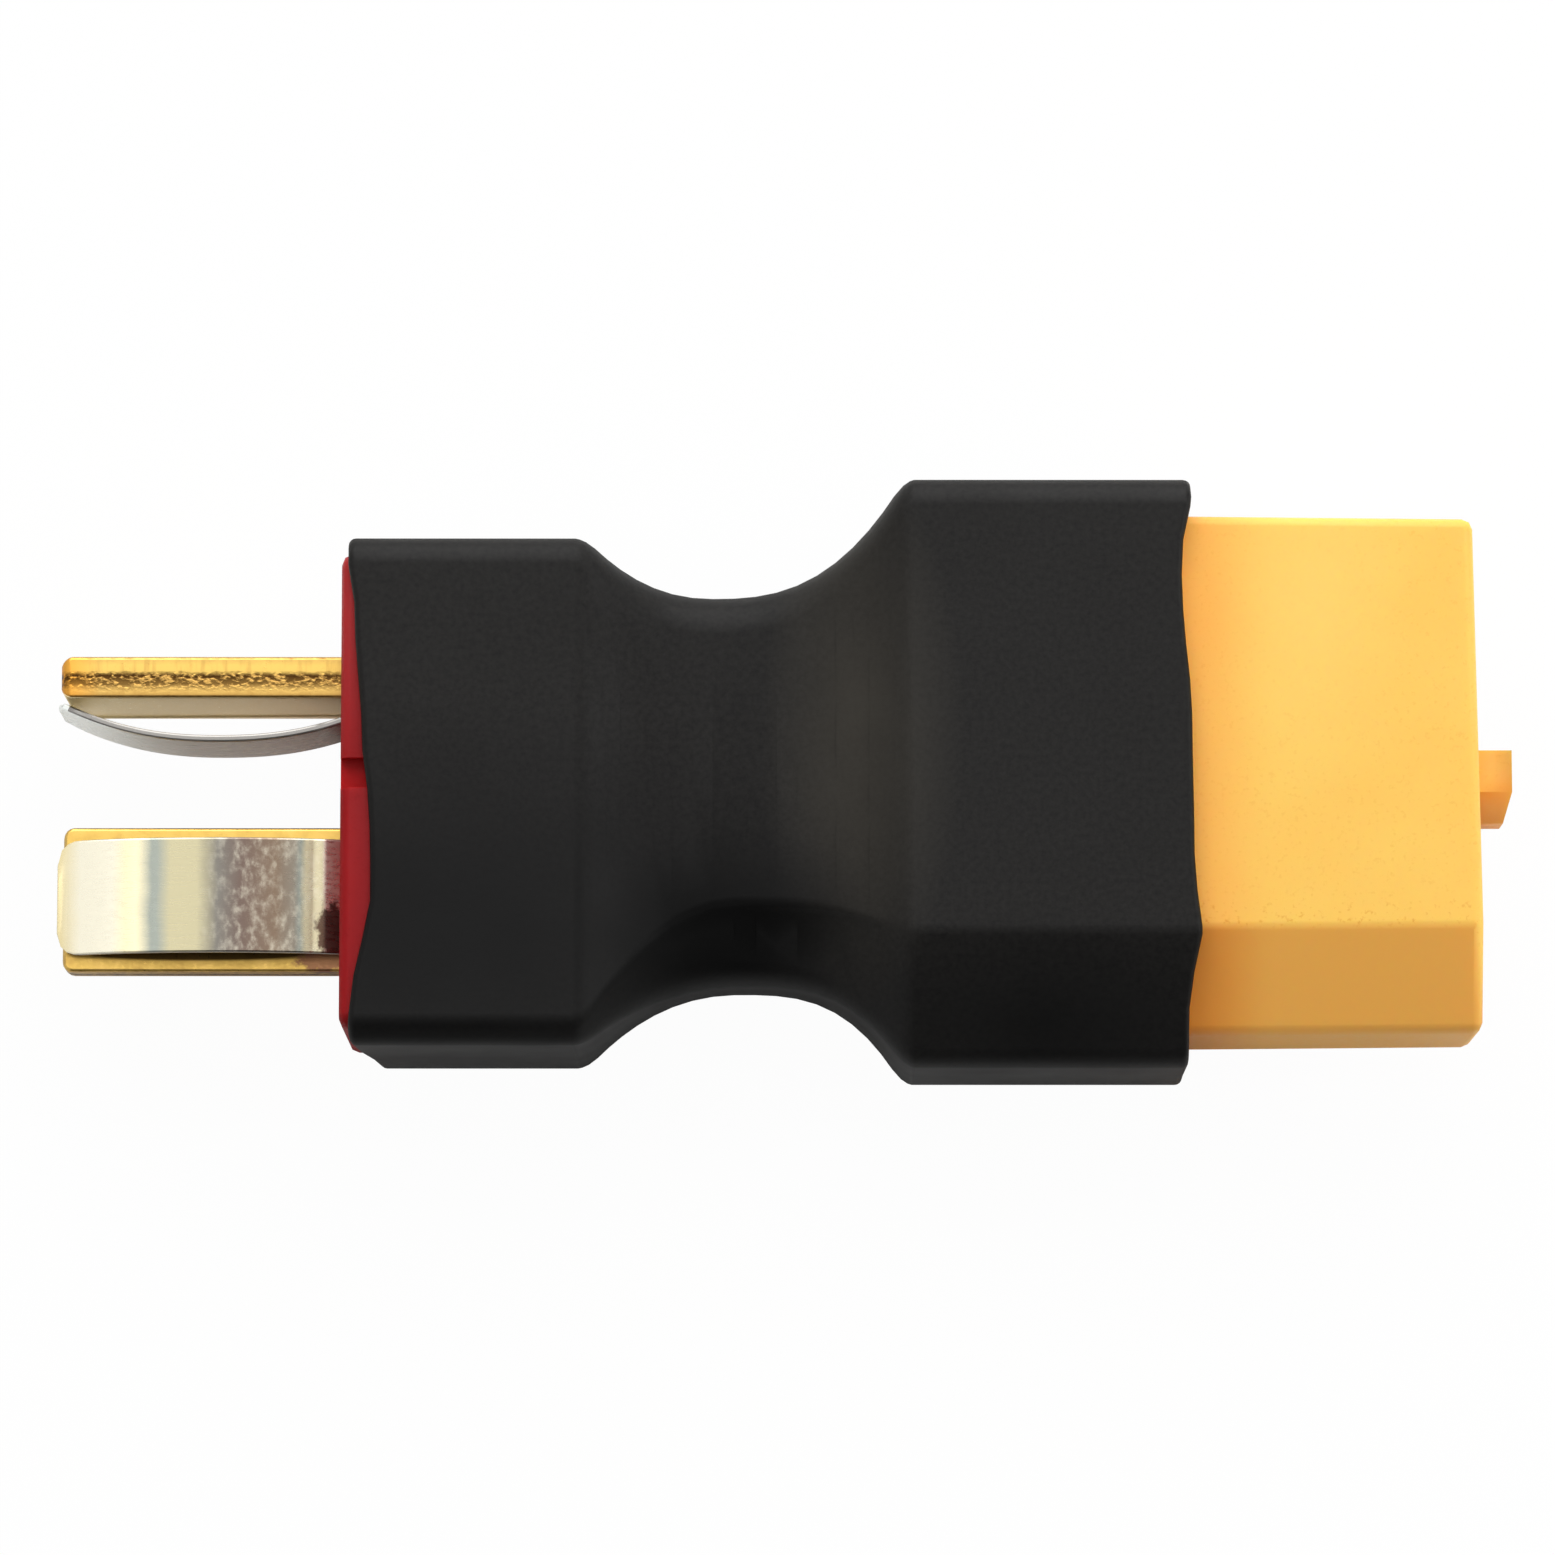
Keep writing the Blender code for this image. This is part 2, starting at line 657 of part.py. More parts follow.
def saddle(x, low_x, at_plug, at_neck, at_base, power_plug, power_base):
    """A dimension of the sleeve that dips between the two housings, rounded where it leaves each."""
    start, end = PLUG_REAR_X + SLEEVE_LEAD, BASE_REAR_X - SLEEVE_LEAD
    total = 0.0
    samples = (-1.0, -0.5, 0.0, 0.5, 1.0)
    for shift in samples:
        here = min(max(x + shift * SLEEVE_SOFTEN, start), end)
        if here < low_x:
            total += at_neck + (at_plug - at_neck) * ((low_x - here) / (low_x - start)) ** power_plug
        else:
            total += at_neck + (at_base - at_neck) * ((here - low_x) / (end - low_x)) ** power_base
    return total / len(samples)


def sleeve_section(x, plug, base, steps):
    """Outer outline of the sleeve at a station: plug, neck or base, or what lies between."""
    neck = [
        (NECK_UPPER_Y, -NECK_UPPER_Z),
        (NECK_UPPER_Y, NECK_UPPER_Z),
        (-NECK_RIDGE_Y, NECK_RIDGE_Z),
        (-NECK_LOWER_Y, NECK_LOWER_Z),
        (-NECK_LOWER_Y, -NECK_LOWER_Z),
        (-NECK_RIDGE_Y, -NECK_RIDGE_Z),
    ]
    span = BASE_REAR_X - PLUG_REAR_X
    low_upper = PLUG_REAR_X + NECK_UPPER_LOW * span
    low_lower = PLUG_REAR_X + NECK_LOWER_LOW * span
    low_middle = (low_upper + low_lower) / 2
    power, deep, corner = NECK_PLUG_POWER, NECK_BASE_POWER_THICKNESS, NECK_CORNER_POWER
    corners, radii = [], []
    for a, b, c in zip(plug, neck, base):
        upper = b[0] > 0
        low_x = low_upper if upper else low_lower
        climb = NECK_BASE_POWER_UPPER if upper else NECK_BASE_POWER_LOWER
        y = saddle(x, low_x, a[0], b[0], c[0], power, climb)
        z = saddle(x, low_middle, a[1], b[1], c[1], power, deep)
        corners.append((y, z))
        start = SLEEVE_CORNER if upper else SLEEVE_FLAT_CORNER
        radii.append(saddle(x, low_upper, start, NECK_CORNER, SLEEVE_CORNER, corner, corner))
    return filled_sides(rounded_outline(corners, radii, steps), steps, SLEEVE_SIDE_PIECES)


def hand_cut(angle, cut_line):
    """How far a hand-cut end is drawn back at an angle round the sleeve, eased between its points."""
    angle %= 360
    for (low, first), (high, second) in zip(cut_line, cut_line[1:] + cut_line[:1]):
        width = (high - low) % 360
        along = (angle - low) % 360
        if along <= width:
            share = (1 - math.cos(math.pi * along / width)) / 2
            return first + (second - first) * share
    return 0.0


def sleeve_stations():
    """Stations from the plug end to the socket end, close together where the sleeve bends."""
    start, end = PLUG_FACE_X + SLEEVE_PLUG_END, SHOULDER_X + SLEEVE_SOCKET_END
    middle, half = (PLUG_REAR_X + BASE_REAR_X) / 2, (BASE_REAR_X - PLUG_REAR_X) / 2
    plug = [start + (PLUG_REAR_X - start) * i / 4 for i in range(4)]
    neck = [middle - half * math.cos(math.pi * i / NECK_STATIONS) for i in range(NECK_STATIONS)]
    base = [BASE_REAR_X + (end - BASE_REAR_X) * i / 5 for i in range(6)]
    return plug + neck + base


def build_sleeve(finish, steps=4):
    plug = offset_outline(plug_outline(), SLEEVE_FIT + SLEEVE_WALL)
    base = offset_outline(base_outline(), SLEEVE_FIT + SLEEVE_WALL)
    stations = sleeve_stations()
    middle = (PLUG_REAR_X + BASE_REAR_X) / 2
    bm = bmesh.new()
    rings = []
    for x in stations:
        ring = []
        for y, z in sleeve_section(x, plug, base, steps):
            angle = math.degrees(math.atan2(z, y))
            if x < middle:
                share = max(0.0, (PLUG_REAR_X - x) / (PLUG_REAR_X - stations[0]))
                place = x + share * hand_cut(angle, PLUG_END_CUT)
            else:
                share = max(0.0, (x - BASE_REAR_X) / (stations[-1] - BASE_REAR_X))
                place = x - share * hand_cut(angle, SOCKET_END_CUT)
            ring.append(bm.verts.new((place, y, MID_Z + z)))
        rings.append(ring)
    for first, second in zip(rings, rings[1:]):
        for i in range(len(first)):
            bm.faces.new((first[i - 1], first[i], second[i], second[i - 1]))
    bmesh.ops.recalc_face_normals(bm, faces=bm.faces)
    mesh = bpy.data.meshes.new("heat_shrink_sleeve")
    bm.to_mesh(mesh)
    bm.free()
    sleeve = add_part("heat_shrink_sleeve", mesh, finish)
    wall = sleeve.modifiers.new("wall", "SOLIDIFY")
    wall.thickness = SLEEVE_WALL
    wall.offset = -1
    wall.use_even_offset = True
    smooth(sleeve)
    return sleeve


def build():
    gold = material("gold_plated_brass", (0.83, 0.55, 0.13), 0.3, 1.0)
    nickel = material("nickel_plated_spring", (0.72, 0.69, 0.62), 0.25, 1.0)
    red = material("red_nylon", (0.34, 0.03, 0.035), 0.45)
    amber = material("amber_nylon", (0.96, 0.55, 0.12), 0.45)
    black = material("black_shrink_tube", (0.03, 0.03, 0.03), 0.6)
    tin = material("solder", (0.55, 0.56, 0.58), 0.35, 1.0)

    build_socket_housing(amber)
    build_plug_housing(red)
    contacts = contact_places()
    for name, y in contacts.items():
        build_contact(f"{name}_socket_contact", y, gold)
    pairs = {"upright": "upper", "flat": "lower"}
    for name, (place, turn) in blade_frames().items():
        build_blade(f"{name}_blade", place, turn, gold)
        build_leaf(f"{name}_leaf_spring", place, turn, nickel)
        build_solder(f"{pairs[name]}_solder_joint", contacts[pairs[name]], place, turn, tin)
    build_sleeve(black)


build()
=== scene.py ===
import math

import bmesh
import bpy
from mathutils import Matrix, Vector


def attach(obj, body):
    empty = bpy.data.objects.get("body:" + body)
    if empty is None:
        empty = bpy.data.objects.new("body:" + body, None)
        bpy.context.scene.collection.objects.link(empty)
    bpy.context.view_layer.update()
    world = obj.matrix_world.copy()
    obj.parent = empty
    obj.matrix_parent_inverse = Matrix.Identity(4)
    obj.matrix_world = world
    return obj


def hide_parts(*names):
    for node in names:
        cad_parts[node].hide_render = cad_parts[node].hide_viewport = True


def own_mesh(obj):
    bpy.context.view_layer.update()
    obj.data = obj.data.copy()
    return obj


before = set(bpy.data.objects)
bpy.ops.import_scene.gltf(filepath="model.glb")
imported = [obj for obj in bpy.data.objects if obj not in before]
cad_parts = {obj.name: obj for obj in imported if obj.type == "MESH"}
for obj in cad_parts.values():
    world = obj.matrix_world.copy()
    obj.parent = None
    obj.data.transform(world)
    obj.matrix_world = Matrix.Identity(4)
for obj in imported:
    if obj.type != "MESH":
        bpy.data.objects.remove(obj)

mm = 0.001
noiseLow, noiseHigh = 0.3, 0.7  # nearly all of a noise texture's values lie between these
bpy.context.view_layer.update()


def hexColour(text):
    # sRGB hex to the linear values that the sockets take
    parts = [int(text[i:i + 2], 16) / 255 for i in (1, 3, 5)]
    linear = [p / 12.92 if p <= 0.04045 else ((p + 0.055) / 1.055) ** 2.4 for p in parts]
    return (*linear, 1.0)


def feed(node, links):
    # an input takes another node's first output, a given socket, or a plain value
    for key, source in links.items():
        if isinstance(source, bpy.types.Node):
            source = source.outputs[0]
        if isinstance(source, bpy.types.NodeSocket):
            node.id_data.links.new(source, node.inputs[key])
        else:
            node.inputs[key].default_value = source


def addNode(owner, kind, settings=None, links=None):
    node = owner.node_tree.nodes.new(kind)
    for key, value in (settings or {}).items():
        if key == "stops":  # a ramp's places and hex colours, in rising order
            for i, (place, colour) in enumerate(value):
                stops = node.color_ramp.elements
                stop = stops[i] if i < 2 else stops.new(place)
                stop.position = place
                stop.color = hexColour(colour)
        else:
            setattr(node, key, value)
    feed(node, links or {})
    return node


def newMaterial(name):
    # a fresh material, its shader, and Object coordinates counted in millimetres
    made = bpy.data.materials.new(name)
    made.use_nodes = True
    shader = made.node_tree.nodes["Principled BSDF"]
    place = addNode(made, "ShaderNodeTexCoord")
    inMm = addNode(made, "ShaderNodeMapping", None, {
        "Vector": place.outputs["Object"], "Scale": (1 / mm, 1 / mm, 1 / mm)})
    return made, shader, inMm


def mergedCopy(node, flatAngle=0.0):
    # a CAD node's loose triangles, welded, with flat areas joined where an angle is given
    bm = bmesh.new()
    bm.from_mesh(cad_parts[node].data)
    bmesh.ops.remove_doubles(bm, verts=bm.verts, dist=0.001 * mm)
    if flatAngle:
        bmesh.ops.dissolve_limit(
            bm, angle_limit=math.radians(flatAngle), verts=bm.verts, edges=bm.edges)
    return bm


def rounded(bm, edges, width, segments, clamp=True):
    bmesh.ops.bevel(
        bm, geom=edges, offset=width, offset_type="OFFSET", segments=segments, profile=0.5,
        affect="EDGES", clamp_overlap=clamp, material=-1)
    bmesh.ops.remove_doubles(bm, verts=bm.verts, dist=0.0005 * mm)


def creases(bm, low, high, leastArea):
    # edges that turn by an angle between low and high degrees, where both faces are large enough
    found = []
    for edge in bm.edges:
        if len(edge.link_faces) == 2 and min(f.calc_area() for f in edge.link_faces) >= leastArea:
            if low < math.degrees(edge.calc_face_angle(0)) < high:
                found.append(edge)
    return found


def patch(made, inMm, centre, reach):
    # 1 at the centre of an oval patch, fading to 0 at its reach along X, Y and Z in mm
    oval = addNode(made, "ShaderNodeMapping", {"vector_type": "TEXTURE"}, {
        "Vector": inMm, "Location": centre, "Scale": reach})
    return addNode(made, "ShaderNodeTexGradient", {"gradient_type": "SPHERICAL"}, {"Vector": oval})


def within(point, box):
    # whether a point lies in a rectangle seen from above
    return box["left"] < point.x < box["right"] and box["low"] < point.y < box["high"]


def evenFaces(piece):
    # broad faces keep their own normals, so that only the roundings beside them shade across
    even = piece.modifiers.new("even_faces", "WEIGHTED_NORMAL")
    even.keep_sharp = True
    return even


def addPiece(name, bm, material, node, smoothAngle):
    mesh = bpy.data.meshes.new(name)
    bm.to_mesh(mesh)
    bm.free()
    mesh.materials.append(material)
    mesh.shade_smooth()
    mesh.set_sharp_from_angle(angle=math.radians(smoothAngle))
    piece = bpy.data.objects.new(name, mesh)
    bpy.context.scene.collection.objects.link(piece)
    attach(piece, "adapter")
    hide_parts(node)
    return piece


# Camera: from above, leaning a little towards the chamfered side
view = {
    "aim": (-0.2, 0.285, 4.48),  # mm
    "azimuth": -1.5,
    "elevation": 82.0,
    "roll": 1.5,
    "distance": 230.0,  # mm
    "span": 44.68,  # mm across the frame at the aim
    "sensor": 36.0,
}


def addCamera(v):
    a, e, r = (math.radians(v[k]) for k in ("azimuth", "elevation", "roll"))
    away = Vector((math.sin(a) * math.cos(e), -math.cos(a) * math.cos(e), math.sin(e)))
    level = Vector((math.cos(a), math.sin(a), 0))
    upright = level.cross(-away)
    right = level * math.cos(r) + upright * math.sin(r)
    up = upright * math.cos(r) - level * math.sin(r)
    data = bpy.data.cameras.new("camera")
    data.sensor_width = v["sensor"]
    data.lens = v["sensor"] * v["distance"] / v["span"]
    data.clip_start = 0.01
    camera = bpy.data.objects.new("camera", data)
    place = Matrix((right, up, away)).transposed().to_4x4()
    place.translation = Vector(v["aim"]) * mm + away * v["distance"] * mm
    camera.matrix_world = place
    bpy.context.scene.collection.objects.link(camera)
    bpy.context.scene.camera = camera


addCamera(view)
print("camera placed")


# Sleeve: black polyolefin heat-shrink, satin, pulled tight over both housings, so its skin is
# softly wavy and finely mottled, and its cut ends have melted to a round lip
sleeveLook = {
    "skin": "#1a1918",
    "skinPale": "#1f1e1d",
    "skinDark": "#131212",
    # painted highlight on the neck, where it faces the light
    "neckSheen": "#4b4740",
    # painted shade, low on the plug end, in the neck's hollow and on the chamfered side
    "shadeBlack": "#060606",
    "grain": 0.16,  # mm, mottling; the real grain is about 0.05 mm, too fine to show
    "grainDepth": 0.012 * mm,
    "waves": 2.6,  # mm, shrink waves
    "waveDepth": 0.08 * mm,
    "neckSheenShare": (0.5, 0.66),  # from the waves' troughs to their crests
    "roughness": (0.46, 0.54),
    "specular": 0.14,
    # oval patches: centre and reach in mm
    "neckSheenAt": ((2.3, 1.1, 6.9), (3.0, 8.0, 5.0)),
    "plugEnd": ((-9.5, -4.6, 7.4), (12.0, 7.0, 4.0)),
    "plugEndWeight": 1.35,
    "chamferSide": ((7.5, -7.0, 7.2), (7.0, 3.6, 3.0)),
    "hollow": ((-1.2, -4.4, 5.6), (4.6, 3.2, 5.0)),
    "flatAngle": 0.3,
    "smoothAngle": 50,
    "middle": Vector((0, 0, 4.4 * mm)),
    "endsBeyond": 10 * mm,  # both cut ends lie further than this from the middle
    "endFacing": 0.75,  # a cut end's normal lies at least this much along X
    "lip": 0.2 * mm,
    "neck": {"left": -5.4 * mm, "right": 2.6 * mm, "low": -4.7 * mm, "high": 3.9 * mm},
    "neckPasses": 8,
    "shoulder": {"left": -4.6 * mm, "right": 2.4 * mm, "low": -4.4 * mm, "high": -0.5 * mm},
}


def shrinkTube(look):
    made, shader, inMm = newMaterial("polyolefin_heat_shrink")
    grain = addNode(made, "ShaderNodeTexNoise", None, {
        "Vector": inMm, "Scale": 1 / look["grain"], "Detail": 3.0, "Roughness": 0.6})
    waves = addNode(made, "ShaderNodeTexNoise", None, {
        "Vector": inMm, "Scale": 1 / look["waves"], "Detail": 2.0, "Roughness": 0.4})
    mottle = addNode(made, "ShaderNodeValToRGB", {"stops": (
        (0.30, look["skinDark"]), (0.5, look["skin"]), (0.72, look["skinPale"]))}, {"Fac": grain})
    # painted highlight: a warm sheen where the neck opens towards the sockets, facing the light
    neckSheenAt = patch(made, inMm, *look["neckSheenAt"])
    sheenLow, sheenHigh = look["neckSheenShare"]
    patchy = addNode(made, "ShaderNodeMapRange", None, {
        "Value": waves, "From Min": noiseLow, "From Max": noiseHigh,
        "To Min": sheenLow, "To Max": sheenHigh})
    cloud = addNode(made, "ShaderNodeMath", {"operation": "MULTIPLY"}, {0: neckSheenAt, 1: patchy})
    sheened = addNode(made, "ShaderNodeMixRGB", None, {
        "Fac": cloud, "Color1": mottle, "Color2": hexColour(look["neckSheen"])})
    # painted shade: blacker low on the plug end, in the neck's hollow and on the chamfered side
    plugEnd = patch(made, inMm, *look["plugEnd"])
    chamferSide = patch(made, inMm, *look["chamferSide"])
    hollow = patch(made, inMm, *look["hollow"])
    both = addNode(made, "ShaderNodeMath", {"operation": "MULTIPLY_ADD"}, {
        0: plugEnd, 1: look["plugEndWeight"], 2: hollow})
    paintedShadeShare = addNode(made, "ShaderNodeMath", {"operation": "ADD", "use_clamp": True}, {
        0: both, 1: chamferSide})
    colour = addNode(made, "ShaderNodeMixRGB", None, {
        "Fac": paintedShadeShare, "Color1": sheened, "Color2": hexColour(look["shadeBlack"])})
    smooth, rough = look["roughness"]
    gloss = addNode(made, "ShaderNodeMapRange", None, {
        "Value": waves, "From Min": noiseLow, "From Max": noiseHigh,
        "To Min": smooth, "To Max": rough})
    soft = addNode(made, "ShaderNodeBump", None, {
        "Height": waves, "Strength": 0.3, "Distance": look["waveDepth"]})
    fine = addNode(made, "ShaderNodeBump", None, {
        "Height": grain, "Normal": soft, "Strength": 0.3, "Distance": look["grainDepth"]})
    feed(shader, {"Base Color": colour, "Roughness": gloss, "Normal": fine, "IOR": 1.49,
                  "Specular IOR Level": look["specular"]})
    return made


def outwards(point, normal, middle):
    # whether a wall's normal points away from the sleeve's long axis
    return normal.dot(Vector((0, point.y - middle.y, point.z - middle.z))) > 0


def outerRim(bm, look):
    # edges where a cut end meets the outer wall
    rim = []
    for edge in bm.edges:
        ends = [f for f in edge.link_faces if abs(f.normal.x) > look["endFacing"]]
        walls = [f for f in edge.link_faces if abs(f.normal.x) <= look["endFacing"]]
        point = (edge.verts[0].co + edge.verts[1].co) / 2
        atEnd = abs(point.x - look["middle"].x) > look["endsBeyond"]
        if atEnd and len(ends) == 1 and len(walls) == 1:
            if outwards(point, walls[0].normal, look["middle"]):
                rim.append(edge)
    return rim


middle, neck = sleeveLook["middle"], sleeveLook["neck"]
bm = mergedCopy("heat_shrink_sleeve", sleeveLook["flatAngle"])
bm.normal_update()
rounded(bm, outerRim(bm, sleeveLook), sleeveLook["lip"], segments=4, clamp=False)
bm.normal_update()
# the ridge beside each hollow of the neck is drawn soft
ridge = [v for v in bm.verts if within(v.co, neck) and outwards(v.co, v.normal, middle)]
for i in range(sleeveLook["neckPasses"]):
    bmesh.ops.smooth_vert(
        bm, verts=ridge, factor=0.5, use_axis_x=False, use_axis_y=False, use_axis_z=True)
piece = addPiece("shrink_sleeve_skin", bm, shrinkTube(sleeveLook), "heat_shrink_sleeve",
                 sleeveLook["smoothAngle"])
even = evenFaces(piece)
# the shoulder above the lower hollow is softer still, so there the shading runs on across faces
shoulder = piece.vertex_groups.new(name="shoulder")
for v in piece.data.vertices:
    if within(v.co, sleeveLook["shoulder"]) and v.co.z > middle.z:
        shoulder.add([v.index], 1.0, "REPLACE")
even.vertex_group = "shoulder"
even.invert_vertex_group = True
print("sleeve done")


# Housings: glass-filled nylon, injection moulded, which lets a little light into its skin
mouldings = {
    "amber": {
        "node": "socket_housing", "slot": "amber_nylon",
        "colour": "#fdcc62", "warm": "#fdc85e", "dark": "#eeab42", "paler": "#fdd26c",
        # painted shade on the flanks and beside the sleeve, and a painted glow at the rim
        "leaningShade": "#fdb856", "shade": "#fee4dc", "flankShade": "#e9e6ce",
        "nearSleeve": (11.7, 14.0), "nearTip": (19.72, 19.9),  # mm along X
        "pores": -4.35,  # Y in mm of the crease that they follow
        "palerAt": (15.0, 5.0, 8.5),
        "groove": None,
        "specular": 0.25, "glow": (1.0, 0.42, 0.1),
    },
    "red": {
        "node": "t_plug_housing", "slot": "red_nylon",
        "colour": "#a82127", "warm": "#a31f25", "dark": "#90181c", "paler": "#c9494d",
        # painted shade on the flanks and beside the sleeve
        "leaningShade": "#9a191f", "shade": "#f0cbc6", "flankShade": "#ffffff",
        "nearSleeve": (-12.3, -11.0), "nearTip": (19.0, 20.0),  # it has no tip of its own
        "pores": 9.0,  # it has no crease, so this lies off its side
        "palerAt": (-12.8, 5.2, 7.0),
        "groove": (-0.05, 0.435),  # middle and half width in mm along Y
        "specular": 0.12, "glow": (1.0, 0.08, 0.06),
    },
    # painted shade inside the red housing's groove
    "grooveShade": "#b50d12",
    "speck": 0.14,  # mm, moulded grain, drawn three times as coarse as it is
    "speckDepth": 0.01 * mm,
    "cloudsPerMm": 0.33,
    "poreReach": (0.1, 1.1),  # mm from the crease
    "poreShare": (0.9, 0.3),  # at those distances
    "palerReach": (3.0, 6.0, 4.0),  # mm
    "sleeveShadow": 0.85,
    "rimGlow": 0.75,
    "glowShare": 0.35,
    "glowDepth": 0.8 * mm,
    "roughness": (0.44, 0.56),
    "flatAngle": 0.4,
    "smoothAngle": 34,
    "creaseTurn": (12, 30),  # degrees
    "leastArea": 4 * mm * mm,
    "crease": 0.16 * mm,
}


def mouldedNylon(name, look, shared):
    made, shader, inMm = newMaterial(name)
    specks = addNode(made, "ShaderNodeTexNoise", None, {
        "Vector": inMm, "Scale": 1 / shared["speck"], "Detail": 2.0, "Roughness": 0.6})
    # the pigment clouds over about 3 mm
    clouds = addNode(made, "ShaderNodeTexNoise", None, {
        "Vector": inMm, "Scale": shared["cloudsPerMm"], "Detail": 2.0})
    tone = addNode(made, "ShaderNodeValToRGB", {"stops": (
        (0.35, look["warm"]), (0.65, look["colour"]))}, {"Fac": clouds})
    parts = addNode(made, "ShaderNodeSeparateXYZ", None, {"Vector": inMm})
    # pores show most along the crease of the chamfer, where the mould filled last
    off = addNode(made, "ShaderNodeMath", {"operation": "SUBTRACT"}, {
        0: parts.outputs["Y"], 1: look["pores"]})
    away = addNode(made, "ShaderNodeMath", {"operation": "ABSOLUTE"}, {0: off})
    fullReach, endReach = shared["poreReach"]
    most, least = shared["poreShare"]
    poreShare = addNode(made, "ShaderNodeMapRange", {"interpolation_type": "SMOOTHSTEP"}, {
        "Value": away, "From Min": fullReach, "From Max": endReach,
        "To Min": most, "To Max": least})
    dots = addNode(made, "ShaderNodeMapRange", None, {
        "Value": specks, "From Min": 0.58, "From Max": 0.72, "To Max": poreShare})
    speckled = addNode(made, "ShaderNodeMixRGB", None, {
        "Fac": dots, "Color1": tone, "Color2": hexColour(look["dark"])})
    # the colour is paler round a patch on the +Y side
    corner = patch(made, inMm, look["palerAt"], shared["palerReach"])
    paler = addNode(made, "ShaderNodeMixRGB", None, {
        "Fac": corner, "Color1": speckled, "Color2": hexColour(look["paler"])})
    # painted shade: flanks that lean to the -Y side, away from the light, are painted deeper
    facing = addNode(made, "ShaderNodeNewGeometry")
    turned = addNode(made, "ShaderNodeSeparateXYZ", None, {"Vector": facing.outputs["Normal"]})
    lean = addNode(made, "ShaderNodeMapRange", {"interpolation_type": "SMOOTHSTEP"}, {
        "Value": turned.outputs["Y"], "From Min": -0.05, "From Max": -0.36})
    flank = addNode(made, "ShaderNodeMixRGB", None, {
        "Fac": lean, "Color1": paler, "Color2": hexColour(look["leaningShade"])})
    # painted shade: the colour is deepened beside the sleeve, which shades it, and the nose's
    # thin rim is deepened a little too, a painted glow of light shining through it
    near, far = look["nearSleeve"]
    sleeveShadow = addNode(made, "ShaderNodeMapRange", {"interpolation_type": "SMOOTHSTEP"}, {
        "Value": parts.outputs["X"], "From Min": near, "From Max": far,
        "To Min": shared["sleeveShadow"], "To Max": 0.0})
    tipStart, tipEnd = look["nearTip"]
    tip = addNode(made, "ShaderNodeMapRange", None, {
        "Value": parts.outputs["X"], "From Min": tipStart, "From Max": tipEnd,
        "To Max": shared["rimGlow"]})
    deeper = addNode(made, "ShaderNodeMath", {"operation": "MAXIMUM"}, {0: sleeveShadow, 1: tip})
    shaded = addNode(made, "ShaderNodeMixRGB", {"blend_type": "MULTIPLY"}, {
        "Fac": deeper, "Color1": flank, "Color2": hexColour(look["shade"])})
    # painted shadow of the sleeve, deeper still on the flanks beside it
    flankSleeveShadow = addNode(made, "ShaderNodeMath", {"operation": "MULTIPLY"}, {0: sleeveShadow, 1: lean})
    colour = addNode(made, "ShaderNodeMixRGB", {"blend_type": "MULTIPLY"}, {
        "Fac": flankSleeveShadow, "Color1": shaded, "Color2": hexColour(look["flankShade"])})
    # painted shade: inside the groove the red is painted darker, where little light reaches
    if look["groove"]:
        middle, half = look["groove"]
        side = addNode(made, "ShaderNodeMath", {"operation": "SUBTRACT"}, {
            0: parts.outputs["Y"], 1: middle})
        across = addNode(made, "ShaderNodeMath", {"operation": "ABSOLUTE"}, {0: side})
        inGroove = addNode(made, "ShaderNodeMath", {"operation": "LESS_THAN"}, {0: across, 1: half})
        colour = addNode(made, "ShaderNodeMixRGB", None, {
            "Fac": inGroove, "Color1": colour, "Color2": hexColour(shared["grooveShade"])})
    smooth, rough = shared["roughness"]
    gloss = addNode(made, "ShaderNodeMapRange", None, {
        "Value": specks, "From Min": noiseLow, "From Max": noiseHigh,
        "To Min": smooth, "To Max": rough})
    skin = addNode(made, "ShaderNodeBump", None, {
        "Height": specks, "Strength": 0.2, "Distance": shared["speckDepth"]})
    feed(shader, {"Base Color": colour, "Roughness": gloss, "Normal": skin, "IOR": 1.53,
                  "Specular IOR Level": look["specular"], "Subsurface Weight": shared["glowShare"],
                  "Subsurface Radius": look["glow"], "Subsurface Scale": shared["glowDepth"]})
    return made


for shade in ("amber", "red"):
    look = mouldings[shade]
    bm = mergedCopy(look["node"], mouldings["flatAngle"])
    chamferEdges = creases(bm, *mouldings["creaseTurn"], mouldings["leastArea"])
    rounded(bm, chamferEdges, mouldings["crease"], segments=3)
    finish = mouldedNylon(shade + "_moulded_nylon", look, mouldings)
    piece = addPiece(look["node"] + "_moulding", bm, finish, look["node"],
                     mouldings["smoothAngle"])
    evenFaces(piece)
print("housings done")


